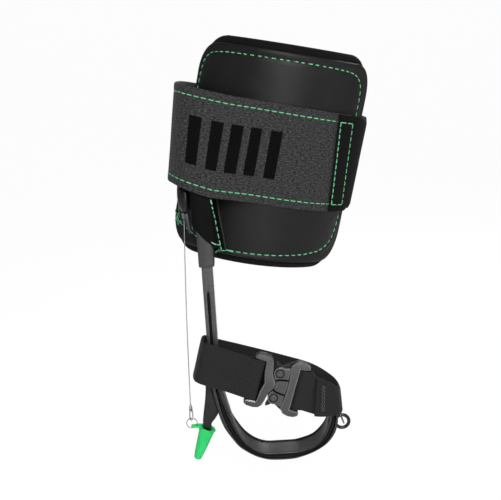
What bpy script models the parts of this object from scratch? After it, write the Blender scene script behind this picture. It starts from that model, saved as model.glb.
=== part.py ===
"""Tree climbing spur (one leg): leg iron with stirrup and gaff, height-adjustable
sleeve with a wrap pad, calf strap, ankle strap with a double-latch side-release
buckle, and a gaff guard tethered to a small spring reel.

Frame: origin at the centre of the footbed's top face, +Z up along the leg iron,
+X from the gaff side to the outer arm, -Y towards the toes.
Lengths are written in millimetres and turned into metres by MM.
"""
import math

import bpy
import bmesh
from mathutils import Matrix, Vector

MM = 0.001
GAP = 0.35                      # running clearance between touching pieces

# ---- leg iron -------------------------------------------------------------
SHANK_X = -77.0                 # centre of the upright bar
SHANK_T = 12.6                  # bar thickness across the leg
SHANK_D = 10.0                  # half depth of the bar, toe to heel
SHANK_TOP = 330.0
FOOT_D = 19.0                   # half depth of the footbed
FOOT_T = 7.0                    # footbed thickness
GROOVE_W = 2.6                  # half width of the relief groove
GROOVE_DEEP = 2.2
GROOVE_TOP = 219.0
EYE = (74.0, 0.0, 30.4)         # strap eye at the outer arm
EYE_R = 8.3
EYE_WIRE = 2.1

# ---- sleeve and pad -------------------------------------------------------
SLEEVE_Z0, SLEEVE_Z1 = 237.0, 380.0
SLEEVE_WALL = 2.4
PAD_TILT = math.radians(13.5)   # pad leans, top towards the outer side
PAD_C = (6.1, 117.2, 358.4)     # centre of the pad's bending axis
PAD_R = 113.0                   # outer bending radius
PAD_ARC = 135.0                 # half arc length of the foam
PAD_H = 125.0                   # half height of the foam
PAD_CORNER = 42.0
COVER_INSET = 7.0
STRAP_W = 116.0                 # calf strap width
STRAP_H = 2.2                   # its centre above the pad's centre
STRAP_T = 3.0

# ---- ankle strap and buckle ----------------------------------------------
BUCKLE_O = (-3.0, 96.0)         # buckle centre (x, z)
WEB_TILT = math.radians(19.3)
BUCKLE_TILT = math.radians(17.6)
WEB_T = 2.2                     # webbing thickness

# ---- gaff and guard -------------------------------------------------------
GUARD_TOP = (-90.6, 33.0)       # mouth of the guard (x, z)
GUARD_TIP = (-106.2, -7.4)
GAFF_D = 5.5                    # half depth of the gaff

# ---- reel -----------------------------------------------------------------
REEL_Y, REEL_Z = 18.0, 318.0
REEL_R = 20.0
WIRE_D = 1.2


# ===========================================================================
#  helpers
# ===========================================================================
for ob in list(bpy.data.objects):
    bpy.data.objects.remove(ob, do_unlink=True)

ROOT = bpy.context.scene.collection


def material(name, rgb, rough, metal=0.0):
    mat = bpy.data.materials.new(name)
    mat.use_nodes = True
    b = mat.node_tree.nodes["Principled BSDF"]
    b.inputs["Base Color"].default_value = (*rgb, 1.0)
    b.inputs["Roughness"].default_value = rough
    b.inputs["Metallic"].default_value = metal
    mat.diffuse_color = (*rgb, 1.0)
    return mat


M_IRON = material("coated_iron", (0.055, 0.055, 0.055), 0.42, 0.3)
M_GAFF = material("coated_gaff", (0.045, 0.045, 0.045), 0.45, 0.3)
M_STEEL = material("bright_steel", (0.55, 0.55, 0.56), 0.28, 1.0)
M_BUCKLE = material("buckle_alloy", (0.075, 0.078, 0.076), 0.45, 0.4)
M_WEB = material("black_webbing", (0.02, 0.02, 0.02), 0.9)
M_FELT = material("loop_fabric", (0.038, 0.038, 0.038), 0.95)
M_LEATHER = material("smooth_vinyl", (0.028, 0.028, 0.028), 0.4)
M_FOAM = material("black_foam", (0.015, 0.015, 0.015), 0.8)
M_GREEN = material("green_rubber", (0.045, 0.72, 0.18), 0.5)
M_PLASTIC = material("gloss_plastic", (0.012, 0.012, 0.012), 0.2)


def place(name, bm, mat, smooth=False, origin=None):
    """Turn a bmesh built in millimetres into a named object in metres."""
    bmesh.ops.recalc_face_normals(bm, faces=bm.faces)
    bm.normal_update()
    if bm.calc_volume(signed=True) < 0:
        bmesh.ops.reverse_faces(bm, faces=bm.faces)
    bmesh.ops.scale(bm, vec=(MM, MM, MM), verts=bm.verts)
    if origin is not None:
        o = Vector(origin) * MM
        bmesh.ops.translate(bm, vec=-o, verts=bm.verts)
    me = bpy.data.meshes.new(name)
    bm.to_mesh(me)
    bm.free()
    if smooth:
        me.shade_smooth()
        me.set_sharp_from_angle(angle=math.radians(35))
    ob = bpy.data.objects.new(name, me)
    if origin is not None:
        ob.location = Vector(origin) * MM
    ob.data.materials.append(mat)
    ROOT.objects.link(ob)
    return ob


def loft(rings, caps=True, closed=False):
    """Skin equal-length vertex rings; quads between rings, fans on the ends."""
    bm = bmesh.new()
    rows = [[bm.verts.new(p) for p in ring] for ring in rings]
    n = len(rows[0])
    last = len(rows) if closed else len(rows) - 1
    for i in range(last):
        a, b = rows[i], rows[(i + 1) % len(rows)]
        for j in range(n):
            bm.faces.new((a[j], a[(j + 1) % n], b[(j + 1) % n], b[j]))
    if caps and not closed:
        bm.faces.new(rows[0])
        bm.faces.new(list(reversed(rows[-1])))
    return bm


def ribbon_loft(rows_out, rows_in):
    """Closed thick sheet from two equal grids of points (outer and inner side)."""
    bm = bmesh.new()
    o = [[bm.verts.new(p) for p in r] for r in rows_out]
    i = [[bm.verts.new(p) for p in r] for r in rows_in]
    R, C = len(o), len(o[0])
    for r in range(R - 1):
        for c in range(C - 1):
            bm.faces.new((o[r][c], o[r][c + 1], o[r + 1][c + 1], o[r + 1][c]))
            bm.faces.new((i[r][c], i[r + 1][c], i[r + 1][c + 1], i[r][c + 1]))
    for c in range(C - 1):
        bm.faces.new((o[0][c], i[0][c], i[0][c + 1], o[0][c + 1]))
        bm.faces.new((o[-1][c], o[-1][c + 1], i[-1][c + 1], i[-1][c]))
    for r in range(R - 1):
        bm.faces.new((o[r][0], o[r + 1][0], i[r + 1][0], i[r][0]))
        bm.faces.new((o[r][-1], i[r][-1], i[r + 1][-1], o[r + 1][-1]))
    return bm


def band(stations, thick):
    """Flat strap: stations are (upper edge point, lower edge point) along its run."""
    st = [(Vector(a), Vector(b)) for a, b in stations]
    mids = [(a + b) * 0.5 for a, b in st]
    rows_o, rows_i = [], []
    for k, (a, b) in enumerate(st):
        t = mids[min(k + 1, len(st) - 1)] - mids[max(k - 1, 0)]
        w = a - b
        nrm = t.cross(w).normalized() * (thick * 0.5)
        rows_o.append([a + nrm, b + nrm])
        rows_i.append([a - nrm, b - nrm])
    return ribbon_loft(rows_o, rows_i)


def smooth_path(points, per=3):
    """Catmull-Rom resampling of a list of equal-length tuples."""
    out = []
    n = len(points)
    for k in range(n - 1):
        p0 = points[max(k - 1, 0)]
        p1, p2 = points[k], points[k + 1]
        p3 = points[min(k + 2, n - 1)]
        for s in range(per):
            t = s / per
            out.append(tuple(
                0.5 * ((2 * b) + (-a + c) * t + (2 * a - 5 * b + 4 * c - d) * t * t
                       + (-a + 3 * b - 3 * c + d) * t ** 3)
                for a, b, c, d in zip(p0, p1, p2, p3)))
    out.append(tuple(points[-1]))
    return out


def prism(outline, to3d, lo, hi):
    """Extrude a closed 2-D outline between two depths."""
    bm = bmesh.new()
    a = [bm.verts.new(to3d(p, lo)) for p in outline]
    b = [bm.verts.new(to3d(p, hi)) for p in outline]
    n = len(outline)
    for j in range(n):
        bm.faces.new((a[j], a[(j + 1) % n], b[(j + 1) % n], b[j]))
    bm.faces.new(list(reversed(a)))
    bm.faces.new(b)
    return bm


def turned(profile, origin, axis, seg=20, hollow=False):
    """Turn a (radius, height) profile about an axis. A hollow profile is a loop."""
    axis = Vector(axis).normalized()
    q = Vector((0, 0, 1)).rotation_difference(axis)
    o = Vector(origin)
    bm = bmesh.new()
    rows = []
    for r, h in profile:
        if r < 1e-6:
            rows.append([bm.verts.new(o + q @ Vector((0, 0, h)))])
        else:
            rows.append([bm.verts.new(o + q @ Vector(
                (r * math.cos(2 * math.pi * k / seg), r * math.sin(2 * math.pi * k / seg), h)))
                for k in range(seg)])
    count = len(rows)
    last = count if hollow else count - 1
    for i in range(last):
        a, b = rows[i], rows[(i + 1) % count]
        if len(a) == 1 and len(b) == 1:
            continue
        for k in range(seg):
            k2 = (k + 1) % seg
            if len(a) == 1:
                bm.faces.new((a[0], b[k2], b[k]))
            elif len(b) == 1:
                bm.faces.new((a[k], a[k2], b[0]))
            else:
                bm.faces.new((a[k], a[k2], b[k2], b[k]))
    if not hollow:
        if len(rows[0]) > 1:
            bm.faces.new(rows[0])
        if len(rows[-1]) > 1:
            bm.faces.new(rows[-1])
    return bm


def torus(center, normal, major, minor, seg=28, sides=8):
    normal = Vector(normal).normalized()
    q = Vector((0, 0, 1)).rotation_difference(normal)
    rings = []
    for k in range(seg):
        a = 2 * math.pi * k / seg
        ring = []
        for j in range(sides):
            b = 2 * math.pi * j / sides
            r = major + minor * math.cos(b)
            ring.append(Vector(center) + q @ Vector((r * math.cos(a), r * math.sin(a),
                                                     minor * math.sin(b))))
        rings.append(ring)
    return loft(rings, caps=False, closed=True)


def tube(points, radius, sides=8, closed=False):
    pts = [Vector(p) for p in points]
    n = len(pts)
    rings = []
    ref = None
    for k, p in enumerate(pts):
        if closed:
            t = (pts[(k + 1) % n] - pts[k - 1]).normalized()
        else:
            t = (pts[min(k + 1, n - 1)] - pts[max(k - 1, 0)]).normalized()
        if ref is None:
            ref = Vector((0, 1, 0)) if abs(t.y) < 0.8 else Vector((1, 0, 0))
        u = (ref - t * ref.dot(t)).normalized()
        ref = u
        v = t.cross(u)
        rings.append([p + radius * (u * math.cos(2 * math.pi * j / sides)
                                    + v * math.sin(2 * math.pi * j / sides))
                      for j in range(sides)])
    return loft(rings, caps=not closed, closed=closed)


def combine(base, others, op):
    """Boolean the helper objects into base and drop them."""
    for other in others:
        mod = base.modifiers.new("cut", 'BOOLEAN')
        mod.operation = op
        mod.solver = 'EXACT'
        mod.object = other
        bpy.context.view_layer.update()
        dg = bpy.context.evaluated_depsgraph_get()
        me = bpy.data.meshes.new_from_object(base.evaluated_get(dg))
        base.modifiers.remove(mod)
        old = base.data
        base.data = me
        me.name = base.name
        bpy.data.meshes.remove(old)
        bpy.data.objects.remove(other, do_unlink=True)
    bm = bmesh.new()
    bm.from_mesh(base.data)
    bmesh.ops.remove_doubles(bm, verts=bm.verts, dist=1e-6)
    bmesh.ops.dissolve_degenerate(bm, edges=bm.edges, dist=1e-7)
    bm.to_mesh(base.data)
    bm.free()
    return base


def screw(name, head, axis, head_r, head_h, shaft_r, shaft_l, mat=M_STEEL, seg=14):
    """Button-head screw with a hexagon socket; head is the underside centre,
    axis points from the head into the work."""
    axis = Vector(axis).normalized()
    prof = [(0, -head_h * 0.45), (head_r * 0.42, -head_h * 0.45), (head_r * 0.46, -head_h),
            (head_r * 0.75, -head_h), (head_r, -head_h * 0.35), (head_r, 0.0),
            (shaft_r, 0.0), (shaft_r, shaft_l), (0, shaft_l)]
    return place(name, turned(prof, head, axis, seg), mat, smooth=True)


# ===========================================================================
#  leg iron: upright, stirrup and outer arm as one forging
# ===========================================================================
inner = [(-70.7, 330), (-70.7, 300), (-70.7, 262), (-70.7, 232), (-70.7, 222), (-70.7, 218),
         (-70.7, 190), (-70.7, 150), (-70.7, 122), (-70.7, 106), (-69.9, 94), (-68.2, 82), (-65.7, 69),
         (-63.0, 56), (-59.8, 42.5), (-54.8, 29.5), (-47.6, 17.8), (-39.4, 9.2),
         (-30.5, 3.6), (-21.5, 0.7), (-14.0, 0.0), (0.0, 0.0), (14.0, 0.0), (21.5, 0.7), (30.5, 3.3),
         (40.0, 7.6), (48.0, 15.0), (54.4, 24.8), (58.2, 36.0), (60.0, 47.0), (60.8, 58.0),
         (61.3, 70.0)]
outer = [(-83.3, 330), (-83.3, 300), (-83.3, 262), (-83.3, 232), (-83.3, 222), (-83.3, 218),
         (-83.3, 190), (-83.3, 150), (-83.3, 126), (-83.3, 110), (-82.7, 97), (-80.9, 84), (-78.0, 69),
         (-74.4, 52), (-69.3, 38), (-61.8, 25.6), (-53.0, 13.4), (-42.2, 4.8),
         (-31.9, -1.3), (-21.2, -5.1), (-12.6, -6.5), (0.0, -7.0), (12.6, -6.5), (22.0, -4.5), (34.0, -0.6),
         (45.6, 5.2), (55.4, 12.8), (63.0, 22.6), (67.0, 33.5), (68.3, 45.0), (68.6, 57.0),
         (68.4, 70.0)]
rings = []
for k, ((xi, zi), (xo, zo)) in enumerate(zip(inner, outer)):
    zc = (zi + zo) * 0.5
    # depth grows from the bar to the footbed, then tapers up the outer arm
    if xi < 0:
        f = min(max((112.0 - zc) / 100.0, 0.0), 1.0)
        d = SHANK_D + (FOOT_D - SHANK_D) * (f * f * (3 - 2 * f))
    else:
        f = min(max((zc - 8.0) / 62.0, 0.0), 1.0)
        d = FOOT_D - 8.0 * (f * f * (3 - 2 * f))
    grooved = zc < GROOVE_TOP + 2 and zc < 221
    if k >= len(inner) - 2:
        grooved = False
    flat = abs(zc) < 8 and abs(xi) < 22
    g = GROOVE_W * (0.72 if flat or xi > -66 else 1.0)
    g = min(g, 0.24 * math.hypot(xi - xo, zi - zo))
    gd = GROOVE_DEEP if grooved else 0.12
    c = 1.3
    mid = Vector(((xi + xo) / 2, 0, zc))
    n = Vector((xi - xo, 0, zi - zo))
    T = n.length
    n.normalize()

    def P(a, y):
        return mid + n * a + Vector((0, y, 0))
    h = T / 2
    rings.append([P(-h, -d + c), P(-h + c, -d), P(-g, -d), P(-g * .6, -d + gd), P(g * .6, -d + gd),
                  P(g, -d), P(h - c, -d), P(h, -d + c), P(h, d - c), P(h - c, d), P(g, d),
                  P(g * .6, d - gd), P(-g * .6, d - gd), P(-g, d), P(-h + c, d), P(-h, d - c)])
iron = place("shank_stirrup", loft(rings), M_IRON)
eye = place("eye_tool", torus(EYE, (0, 1, 0), EYE_R, EYE_WIRE, 28, 8), M_IRON)
combine(iron, [eye], 'UNION')
# tapped holes for the gaff screws
for z in (98.0 + 4, 118.0 + 4):
    pass

# ===========================================================================
#  gaff, its screws and the guard
# ===========================================================================
ax = Vector((GUARD_TIP[0] - GUARD_TOP[0], 0, GUARD_TIP[1] - GUARD_TOP[1])).normalized()
pn = Vector((ax.z, 0, -ax.x))                # across the spike, points to -X side
if pn.x > 0:
    pn = -pn
# blade outline down the outer side of the iron: (left x, left z, right x, right z, half depth)
blade = [(-88.8, 132.0, -83.7, 132.0, 4.2), (-89.6, 126.0, -83.7, 126.0, GAFF_D),
         (-90.2, 110.0, -83.7, 110.0, GAFF_D), (-90.0, 98.0, -83.15, 97.0, GAFF_D),
         (-89.2, 88.0, -81.9, 86.5, GAFF_D), (-90.2, 77.0, -80.2, 76.0, GAFF_D),
         (-92.0, 65.0, -77.8, 65.5, GAFF_D), (-93.8, 55.0, -75.6, 54.5, GAFF_D),
         (-94.8, 49.0, -79.6, 46.6, GAFF_D), (-95.6, 42.5, -85.0, 39.6, GAFF_D)]
rings = []
for lx, lz, rx, rz, d in blade:
    a, b = Vector((lx, 0, lz)), Vector((rx, 0, rz))
    m = (b - a).normalized()
    c = 1.6
    rings.append([a + m * c + Vector((0, -d, 0)), b - m * c + Vector((0, -d, 0)),
                  b + Vector((0, -d + c, 0)), b + Vector((0, d - c, 0)),
                  b - m * c + Vector((0, d, 0)), a + m * c + Vector((0, d, 0)),
                  a + Vector((0, d - c, 0)), a + Vector((0, -d + c, 0))])
spike0 = Vector((GUARD_TOP[0], 0, GUARD_TOP[1])) + Vector((-0.2, 0, 0.0))
for dist, hw, hd in ((0.0, 4.9, 5.1), (9.0, 4.3, 4.5), (18.0, 3.4, 3.5), (26.0, 2.4, 2.4),
                     (32.0, 1.3, 1.3), (35.0, 0.5, 0.5)):
    p = spike0 + ax * dist
    c = hw * 0.35
    a, b = p + pn * hw, p - pn * hw
    m = (b - a).normalized()
    rings.append([a + m * c + Vector((0, -hd, 0)), b - m * c + Vector((0, -hd, 0)),
                  b + Vector((0, -hd + c, 0)), b + Vector((0, hd - c, 0)),
                  b - m * c + Vector((0, hd, 0)), a + m * c + Vector((0, hd, 0)),
                  a + Vector((0, hd - c, 0)), a + Vector((0, -hd + c, 0))])
gaff = place("gaff", loft(rings), M_GAFF)

for tag, z in (("lower", 103.0), ("upper", 121.0)):
    head_x = -90.55
    hole = place("hole_tool", turned([(0, -3), (2.85, -3), (2.85, 22), (0, 22)],
                                     (head_x, 0, z), (1, 0, 0), 14), M_STEEL)
    combine(gaff, [hole], 'DIFFERENCE')
    hole = place("hole_tool", turned([(0, -3), (2.85, -3), (2.85, 17.5), (0, 17.5)],
                                     (head_x, 0, z), (1, 0, 0), 14), M_STEEL)
    combine(iron, [hole], 'DIFFERENCE')
    screw("gaff_screw_" + tag, (head_x, 0, z), (1, 0, 0), 4.3, 2.3, 2.5, 16.5)

G_LEN = (Vector((GUARD_TIP[0], 0, GUARD_TIP[1])) - Vector((GUARD_TOP[0], 0, GUARD_TOP[1]))).length
g_prof = [(8.0, 0.0), (9.6, 0.0), (10.5, 0.5), (10.5, 1.9), (9.6, 2.5), (8.9, 8.0), (4.6, G_LEN - 2.6),
          (3.6, G_LEN - 0.7), (2.0, G_LEN), (0, G_LEN),
          (0, 37.3), (1.5, 37.0), (3.4, 28.0), (5.2, 18.0), (6.9, 6.0)]
bm = bmesh.new()
g_org = (GUARD_TOP[0], 0, GUARD_TOP[1])
guard = place("gaff_guard", turned(g_prof[:10] + list(reversed([])) + g_prof[10:], g_org, ax, 24,
                                   hollow=True), M_GREEN, smooth=True, origin=g_org)
bm.free()
# flat ear on the guard's rim, slotted for the split ring
RING_C = (-109.4, 0.0, 39.9)
RING_R, RING_WIRE = 6.4, 0.65
ear = place("ear_tool", prism([(-110.4, -2.4), (-109.2, -3.4), (-99.3, -4.6), (-99.3, 4.6), (-109.2, 3.4),
                               (-110.4, 2.4)],
                              lambda p, z: (p[0], p[1], z + (p[0] + 100) * 0.0), 35.0, 36.8),
            M_GREEN, origin=g_org)
post = place("post_tool", prism([(-101.6, -3.4), (-98.2, -3.4), (-98.2, 3.4), (-101.6, 3.4)],
                                lambda p, z: (p[0], p[1], z), 32.2, 36.8), M_GREEN, origin=g_org)
combine(ear, [post], 'UNION')
combine(guard, [ear], 'UNION')
slot = place("slot_tool", prism([(-106.9, -1.5), (-102.5, -1.5), (-102.5, 1.5), (-106.9, 1.5)],
                                lambda p, z: (p[0], p[1], z), 30.0, 40.0), M_GREEN, origin=g_org)
combine(guard, [slot], 'DIFFERENCE')
# clear the cavity again where the ear's root reached into it
bore = place("bore_tool", turned([(0, -6), (8.0, -6), (8.0, 0.0), (6.9, 6.0), (5.2, 18.0), (3.4, 28.0),
                                  (1.5, 37.0), (0, 37.3)], g_org, ax, 24), M_GREEN, origin=g_org)
combine(guard, [bore], 'DIFFERENCE')

place("split_ring", torus(RING_C, (0, 1, 0), RING_R, RING_WIRE, 28, 6), M_STEEL, smooth=True,
      origin=RING_C)

# swivel: an oval wire loop below a turned barrel
SW_X = RING_C[0]
loop_pts = []
LA = math.radians(58)
for k in range(20):
    a = 2 * math.pi * k / 20
    ca, sa = math.cos(a), math.sin(a)
    w = 3.1 * math.copysign(abs(ca) ** 0.8, ca)
    z = 50.0 + 6.0 * math.copysign(abs(sa) ** 0.9, sa)
    loop_pts.append((SW_X + w * math.cos(LA), w * math.sin(LA), z))
loop = place("swivel_loop", tube(loop_pts, 0.7, 6, closed=True), M_STEEL, smooth=True)
cap_collar = place("collar_tool", turned([(0, 55.4), (1.9, 55.4), (2.2, 55.9), (2.2, 57.4), (0, 57.4)],
                                         (SW_X, 0, 0), (0, 0, 1), 12), M_STEEL)
combine(loop, [cap_collar], 'UNION')
BAR_Z0 = 57.75
place("swivel_barrel", turned([(0, BAR_Z0), (1.6, BAR_Z0), (2.1, BAR_Z0 + 0.5), (2.1, BAR_Z0 + 2.7),
                               (1.3, BAR_Z0 + 3.9), (1.0, BAR_Z0 + 6.4), (0, BAR_Z0 + 6.4)],
                              (SW_X, 0, 0), (0, 0, 1), 12), M_STEEL, smooth=True,
      origin=(SW_X, 0, BAR_Z0))

# ===========================================================================
#  sleeve on the bar, with its clamp screws
# ===========================================================================
bx, by = SHANK_T / 2 + GAP, SHANK_D + GAP
sx, sy = bx + SLEEVE_WALL, by + SLEEVE_WALL


def rect_ring(hx, hy, z, c):
    return [(SHANK_X - hx + c, -hy, z), (SHANK_X + hx - c, -hy, z), (SHANK_X + hx, -hy + c, z),
            (SHANK_X + hx, hy - c, z), (SHANK_X + hx - c, hy, z), (SHANK_X - hx + c, hy, z),
            (SHANK_X - hx, hy - c, z), (SHANK_X - hx, -hy + c, z)]


rings = [rect_ring(sx - 0.6, sy - 0.6, SLEEVE_Z0, 1.4), rect_ring(sx, sy, SLEEVE_Z0 + 1.2, 1.4),
         rect_ring(sx, sy, SLEEVE_Z1, 1.4), rect_ring(bx, by, SLEEVE_Z1, 0.6),
         rect_ring(bx, by, SLEEVE_Z0, 0.6)]
sleeve = place("leg_sleeve", loft(rings, closed=True), M_IRON)
SL_LEFT = SHANK_X - sx
for tag, z in (("lower", 300.0), ("upper", 352.0)):
    hole = place("hole_tool", turned([(0, -4), (2.35, -4), (2.35, 6), (0, 6)],
                                     (SL_LEFT - 0.3, 0, z), (1, 0, 0), 12), M_STEEL)
    combine(sleeve, [hole], 'DIFFERENCE')
    screw("sleeve_screw_" + tag, (SL_LEFT - 0.35, 0, z), (1, 0, 0), 4.0, 2.0, 2.0, 2.4, seg=12)

# ===========================================================================
#  pad: foam cushion, smooth cover and its wedge bracket
# ===========================================================================
U = Vector((math.sin(PAD_TILT), 0, math.cos(PAD_TILT)))
Rv = Vector((math.cos(PAD_TILT), 0, -math.sin(PAD_TILT)))
PC = Vector(PAD_C)


def pad_point(arc, h, rho):
    a = arc / PAD_R
    # the cut is a little out of square: lower at the gaff side's bottom corner
    left = (1 - arc / PAD_ARC) / 2
    v = (h / PAD_H + 1) / 2
    h = h + v * (2.0 - 5.0 * left) + (1 - v) * (-0.5 - 8.0 * left)
    return PC + U * h + Rv * (rho * math.sin(a)) + Vector((0, -rho * math.cos(a), 0))


def pad_y(x, z, rho):
    """Depth of the pad's curved surface of radius rho in front of world (x, z)."""
    r = (x - PC.x) * Rv.x + (z - PC.z) * Rv.z
    r = max(min(r, rho * 0.999), -rho * 0.999)
    return PC.y - math.sqrt(rho * rho - r * r)


def shell(half_arc, half_h, corner, rho_o, rho_i, cols, zone=5, mids=6, round_edge=0.0):
    hs = []
    for k in range(zone + 1):
        t = math.pi / 2 * (1 - k / zone)
        hs.append(-(half_h - corner) - corner * math.sin(t))
    for k in range(1, mids):
        hs.append(-(half_h - corner) + 2 * (half_h - corner) * k / mids)
    hs += [-v for v in reversed(hs[:zone + 1])]
    rows_o, rows_i = [], []
    for hh in hs:
        e = max(abs(hh) - (half_h - corner), 0.0)
        w = half_arc - corner + math.sqrt(max(corner * corner - e * e, 0.0))
        ro, ri = [], []
        for c in range(cols + 1):
            s = -w + 2 * w * c / cols
            ro.append(pad_point(s, hh, rho_o))
            ri.append(pad_point(s, hh, rho_i))
        rows_o.append(ro)
        rows_i.append(ri)
    return ribbon_loft(rows_o, rows_i)


place("pad_cushion", shell(PAD_ARC, PAD_H, PAD_CORNER, PAD_R - 3.2, PAD_R - 18.5, 18), M_FOAM, smooth=True)
place("pad_cover", shell(PAD_ARC - COVER_INSET, PAD_H - COVER_INSET, PAD_CORNER - 5, PAD_R, PAD_R - 2.3, 18),
      M_LEATHER, smooth=True)

# wedge bracket between the sleeve's heel side and the curved pad
rows_o, rows_i = [], []
for z in (262.0, 285.0, 308.0, 331.0, 352.0):
    ro, ri = [], []
    for x in (-84.0, -79.5, -75.0, -71.0):
        ro.append((x, sy + GAP, z))
        ri.append((x, pad_y(x, z, PAD_R) - 0.45, z))
    rows_o.append(ro)
    rows_i.append(ri)
place("pad_bracket", ribbon_loft(rows_o, rows_i), M_IRON)

# pocket panel sewn over the sleeve
cols_xy = []
PT = 2.0
zs_top = 392.0


def pocket_cols(z):
    """Mid-surface of the pocket at height z, from the sewn inner edge round the sleeve."""
    xr = -62.6 if z < 270 else -64.0
    yr = pad_y(xr, z, PAD_R) - PT / 2 - 1.0
    yb = pad_y(-89.9, z, PAD_R) - PT / 2 - 1.4
    front = -(sy + 0.45 + PT / 2)
    return [(xr + 1.6, pad_y(xr + 1.6, z, PAD_R) - PT / 2 - 1.0), (xr - 0.6, yr * 0.55 + front * 0.45),
            (-65.3, front + 5.5), (-66.6, front + 1.5), (-69.8, front - 0.1), (-77.0, front - 0.3), (-83.5, front),
            (-88.3, front + 1.6), (-89.8, front + 6.5), (-89.95, 2.0), (-89.95, max(yb * 0.6, 12.0)),
            (-89.95, max(yb, 18.0))]


low_z = [256.5, 258.5, 261.5, 263.5, 266.0, 271.5, 278.5, 284.0, 287.0, 290.0, 293.0, 296.0]
rows_o, rows_i = [], []
for f in (0.0, 0.16, 0.34, 0.55, 0.78, 1.0):
    pts = []
    for c in range(12):
        z = low_z[c] + (zs_top - low_z[c]) * f
        x, y = pocket_cols(z)[c]
        pts.append(Vector((x, y, z)))
    ro, ri = [], []
    for c, p in enumerate(pts):
        t = pts[min(c + 1, 11)] - pts[max(c - 1, 0)]
        nrm = Vector((t.y, -t.x, 0)).normalized() * (PT / 2)
        ro.append(p + nrm)
        ri.append(p - nrm)
    rows_o.append(ro)
    rows_i.append(ri)
place("pocket_panel", ribbon_loft(rows_o, rows_i), M_LEATHER, smooth=True)

# ===========================================================================
#  calf strap and the band that carries it round the pad's outer edge
# ===========================================================================
strap_path = [(86.0, 39.4), (60.0, 17.9), (30.0, 5.2), (4.0, 1.0), (-22.0, -3.4), (-44.0, -11.2),
              (-62.0, -18.2), (-75.0, -20.8), (-88.0, -20.9), (-100.0, -17.2), (-109.0, -8.4),
              (-115.6, 7.0), (-117.4, 30.0), (-117.4, 60.0), (-112.4, 92.0), (-98.0, 124.0), (-73.0, 153.0),
              (-38.0, 172.0), (2.0, 178.0), (42.0, 171.0), (73.0, 153.0), (93.5, 128.0), (103.0, 104.0),
              (105.4, 88.0)]
stations = []
for r, y in smooth_path(strap_path, 2):
    w = min(max((-r - 60.0) / 50.0, 0.0), 1.0)
    top, bot = STRAP_H + STRAP_W / 2 + 2.5 * w, STRAP_H - STRAP_W / 2 + 7.5 * w
    stations.append((PC + U * top + Rv * (r - 0.085 * top * w) + Vector((0, y - PC.y, 0)),
                     PC + U * bot + Rv * (r - 0.085 * bot * w) + Vector((0, y - PC.y, 0))))
place("calf_strap", band(stations, STRAP_T), M_FELT, smooth=True)

edge_path = [(69.0, 19.8), (78.0, 26.9), (87.5, 36.0), (97.0, 47.6), (104.6, 60.0), (108.9, 73.0),
             (109.8, 84.0), (108.9, 94.0), (106.8, 104.0)]
stations = []
for r, y in smooth_path(edge_path, 2):
    top, bot = STRAP_H + STRAP_W / 2 - 1.5, STRAP_H - STRAP_W / 2 + 1.5
    stations.append((PC + U * top + Rv * r + Vector((0, y - PC.y, 0)),
                     PC + U * bot + Rv * r + Vector((0, y - PC.y, 0))))
place("strap_edge_band", band(stations, 2.4), M_WEB, smooth=True)

# ===========================================================================
#  ankle strap
# ===========================================================================
we = Vector((math.cos(WEB_TILT), 0, -math.sin(WEB_TILT)))
wn = Vector((math.sin(WEB_TILT), 0, math.cos(WEB_TILT)))
be = Vector((math.cos(BUCKLE_TILT), 0, -math.sin(BUCKLE_TILT)))
bn = Vector((math.sin(BUCKLE_TILT), 0, math.cos(BUCKLE_TILT)))
BO = Vector((BUCKLE_O[0], 0, BUCKLE_O[1]))


def web(s, t, y):
    return BO + we * s + wn * t + Vector((0, y, 0))


def buck(s, t, y):
    return BO + be * s + bn * t + Vector((0, y, 0))


BAR_Y = -30.6
BAR_R = 2.4
LOOP_R = BAR_R + 0.4 + WEB_T / 2


def loop_stations(sign, s_bar, upto, tail, half=25.0):
    """Webbing that comes along the front, turns round a buckle bar and doubles back."""
    st = []
    for s, y in upto:
        st.append((buck(s, half, y), buck(s, -half, y)))
    for k in range(7):
        a = math.pi * k / 6
        s = s_bar - sign * LOOP_R * math.sin(a) * -1.0
        y = BAR_Y - LOOP_R * math.cos(a)
        st.append((buck(s, half, y), buck(s, -half, y)))
    for s, y in tail:
        st.append((buck(s, half, y), buck(s, -half, y)))
    return st


M_BAR = -28.8
F_BAR = 27.6
front = []
for s, y in ((-84.0, -25.2), (-72.0, -25.9), (-60.0, -27.0), (-50.0, -28.9), (-40.0, -31.8)):
    f = min(max((s + 84.0) / 44.0, 0.0), 1.0)
    a = web(s, 24.2, y) * (1 - f) + buck(s, 25.0, y) * f
    b = web(s, -26.8, y) * (1 - f) + buck(s, -25.0, y) * f
    front.append((a, b))
front += loop_stations(1.0, M_BAR, [(-34.0, -33.6)], [(-35.0, -26.9), (-42.0, -25.6), (-50.0, -24.6)])
place("ankle_strap_front", band(front, WEB_T), M_WEB, smooth=True)

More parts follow.
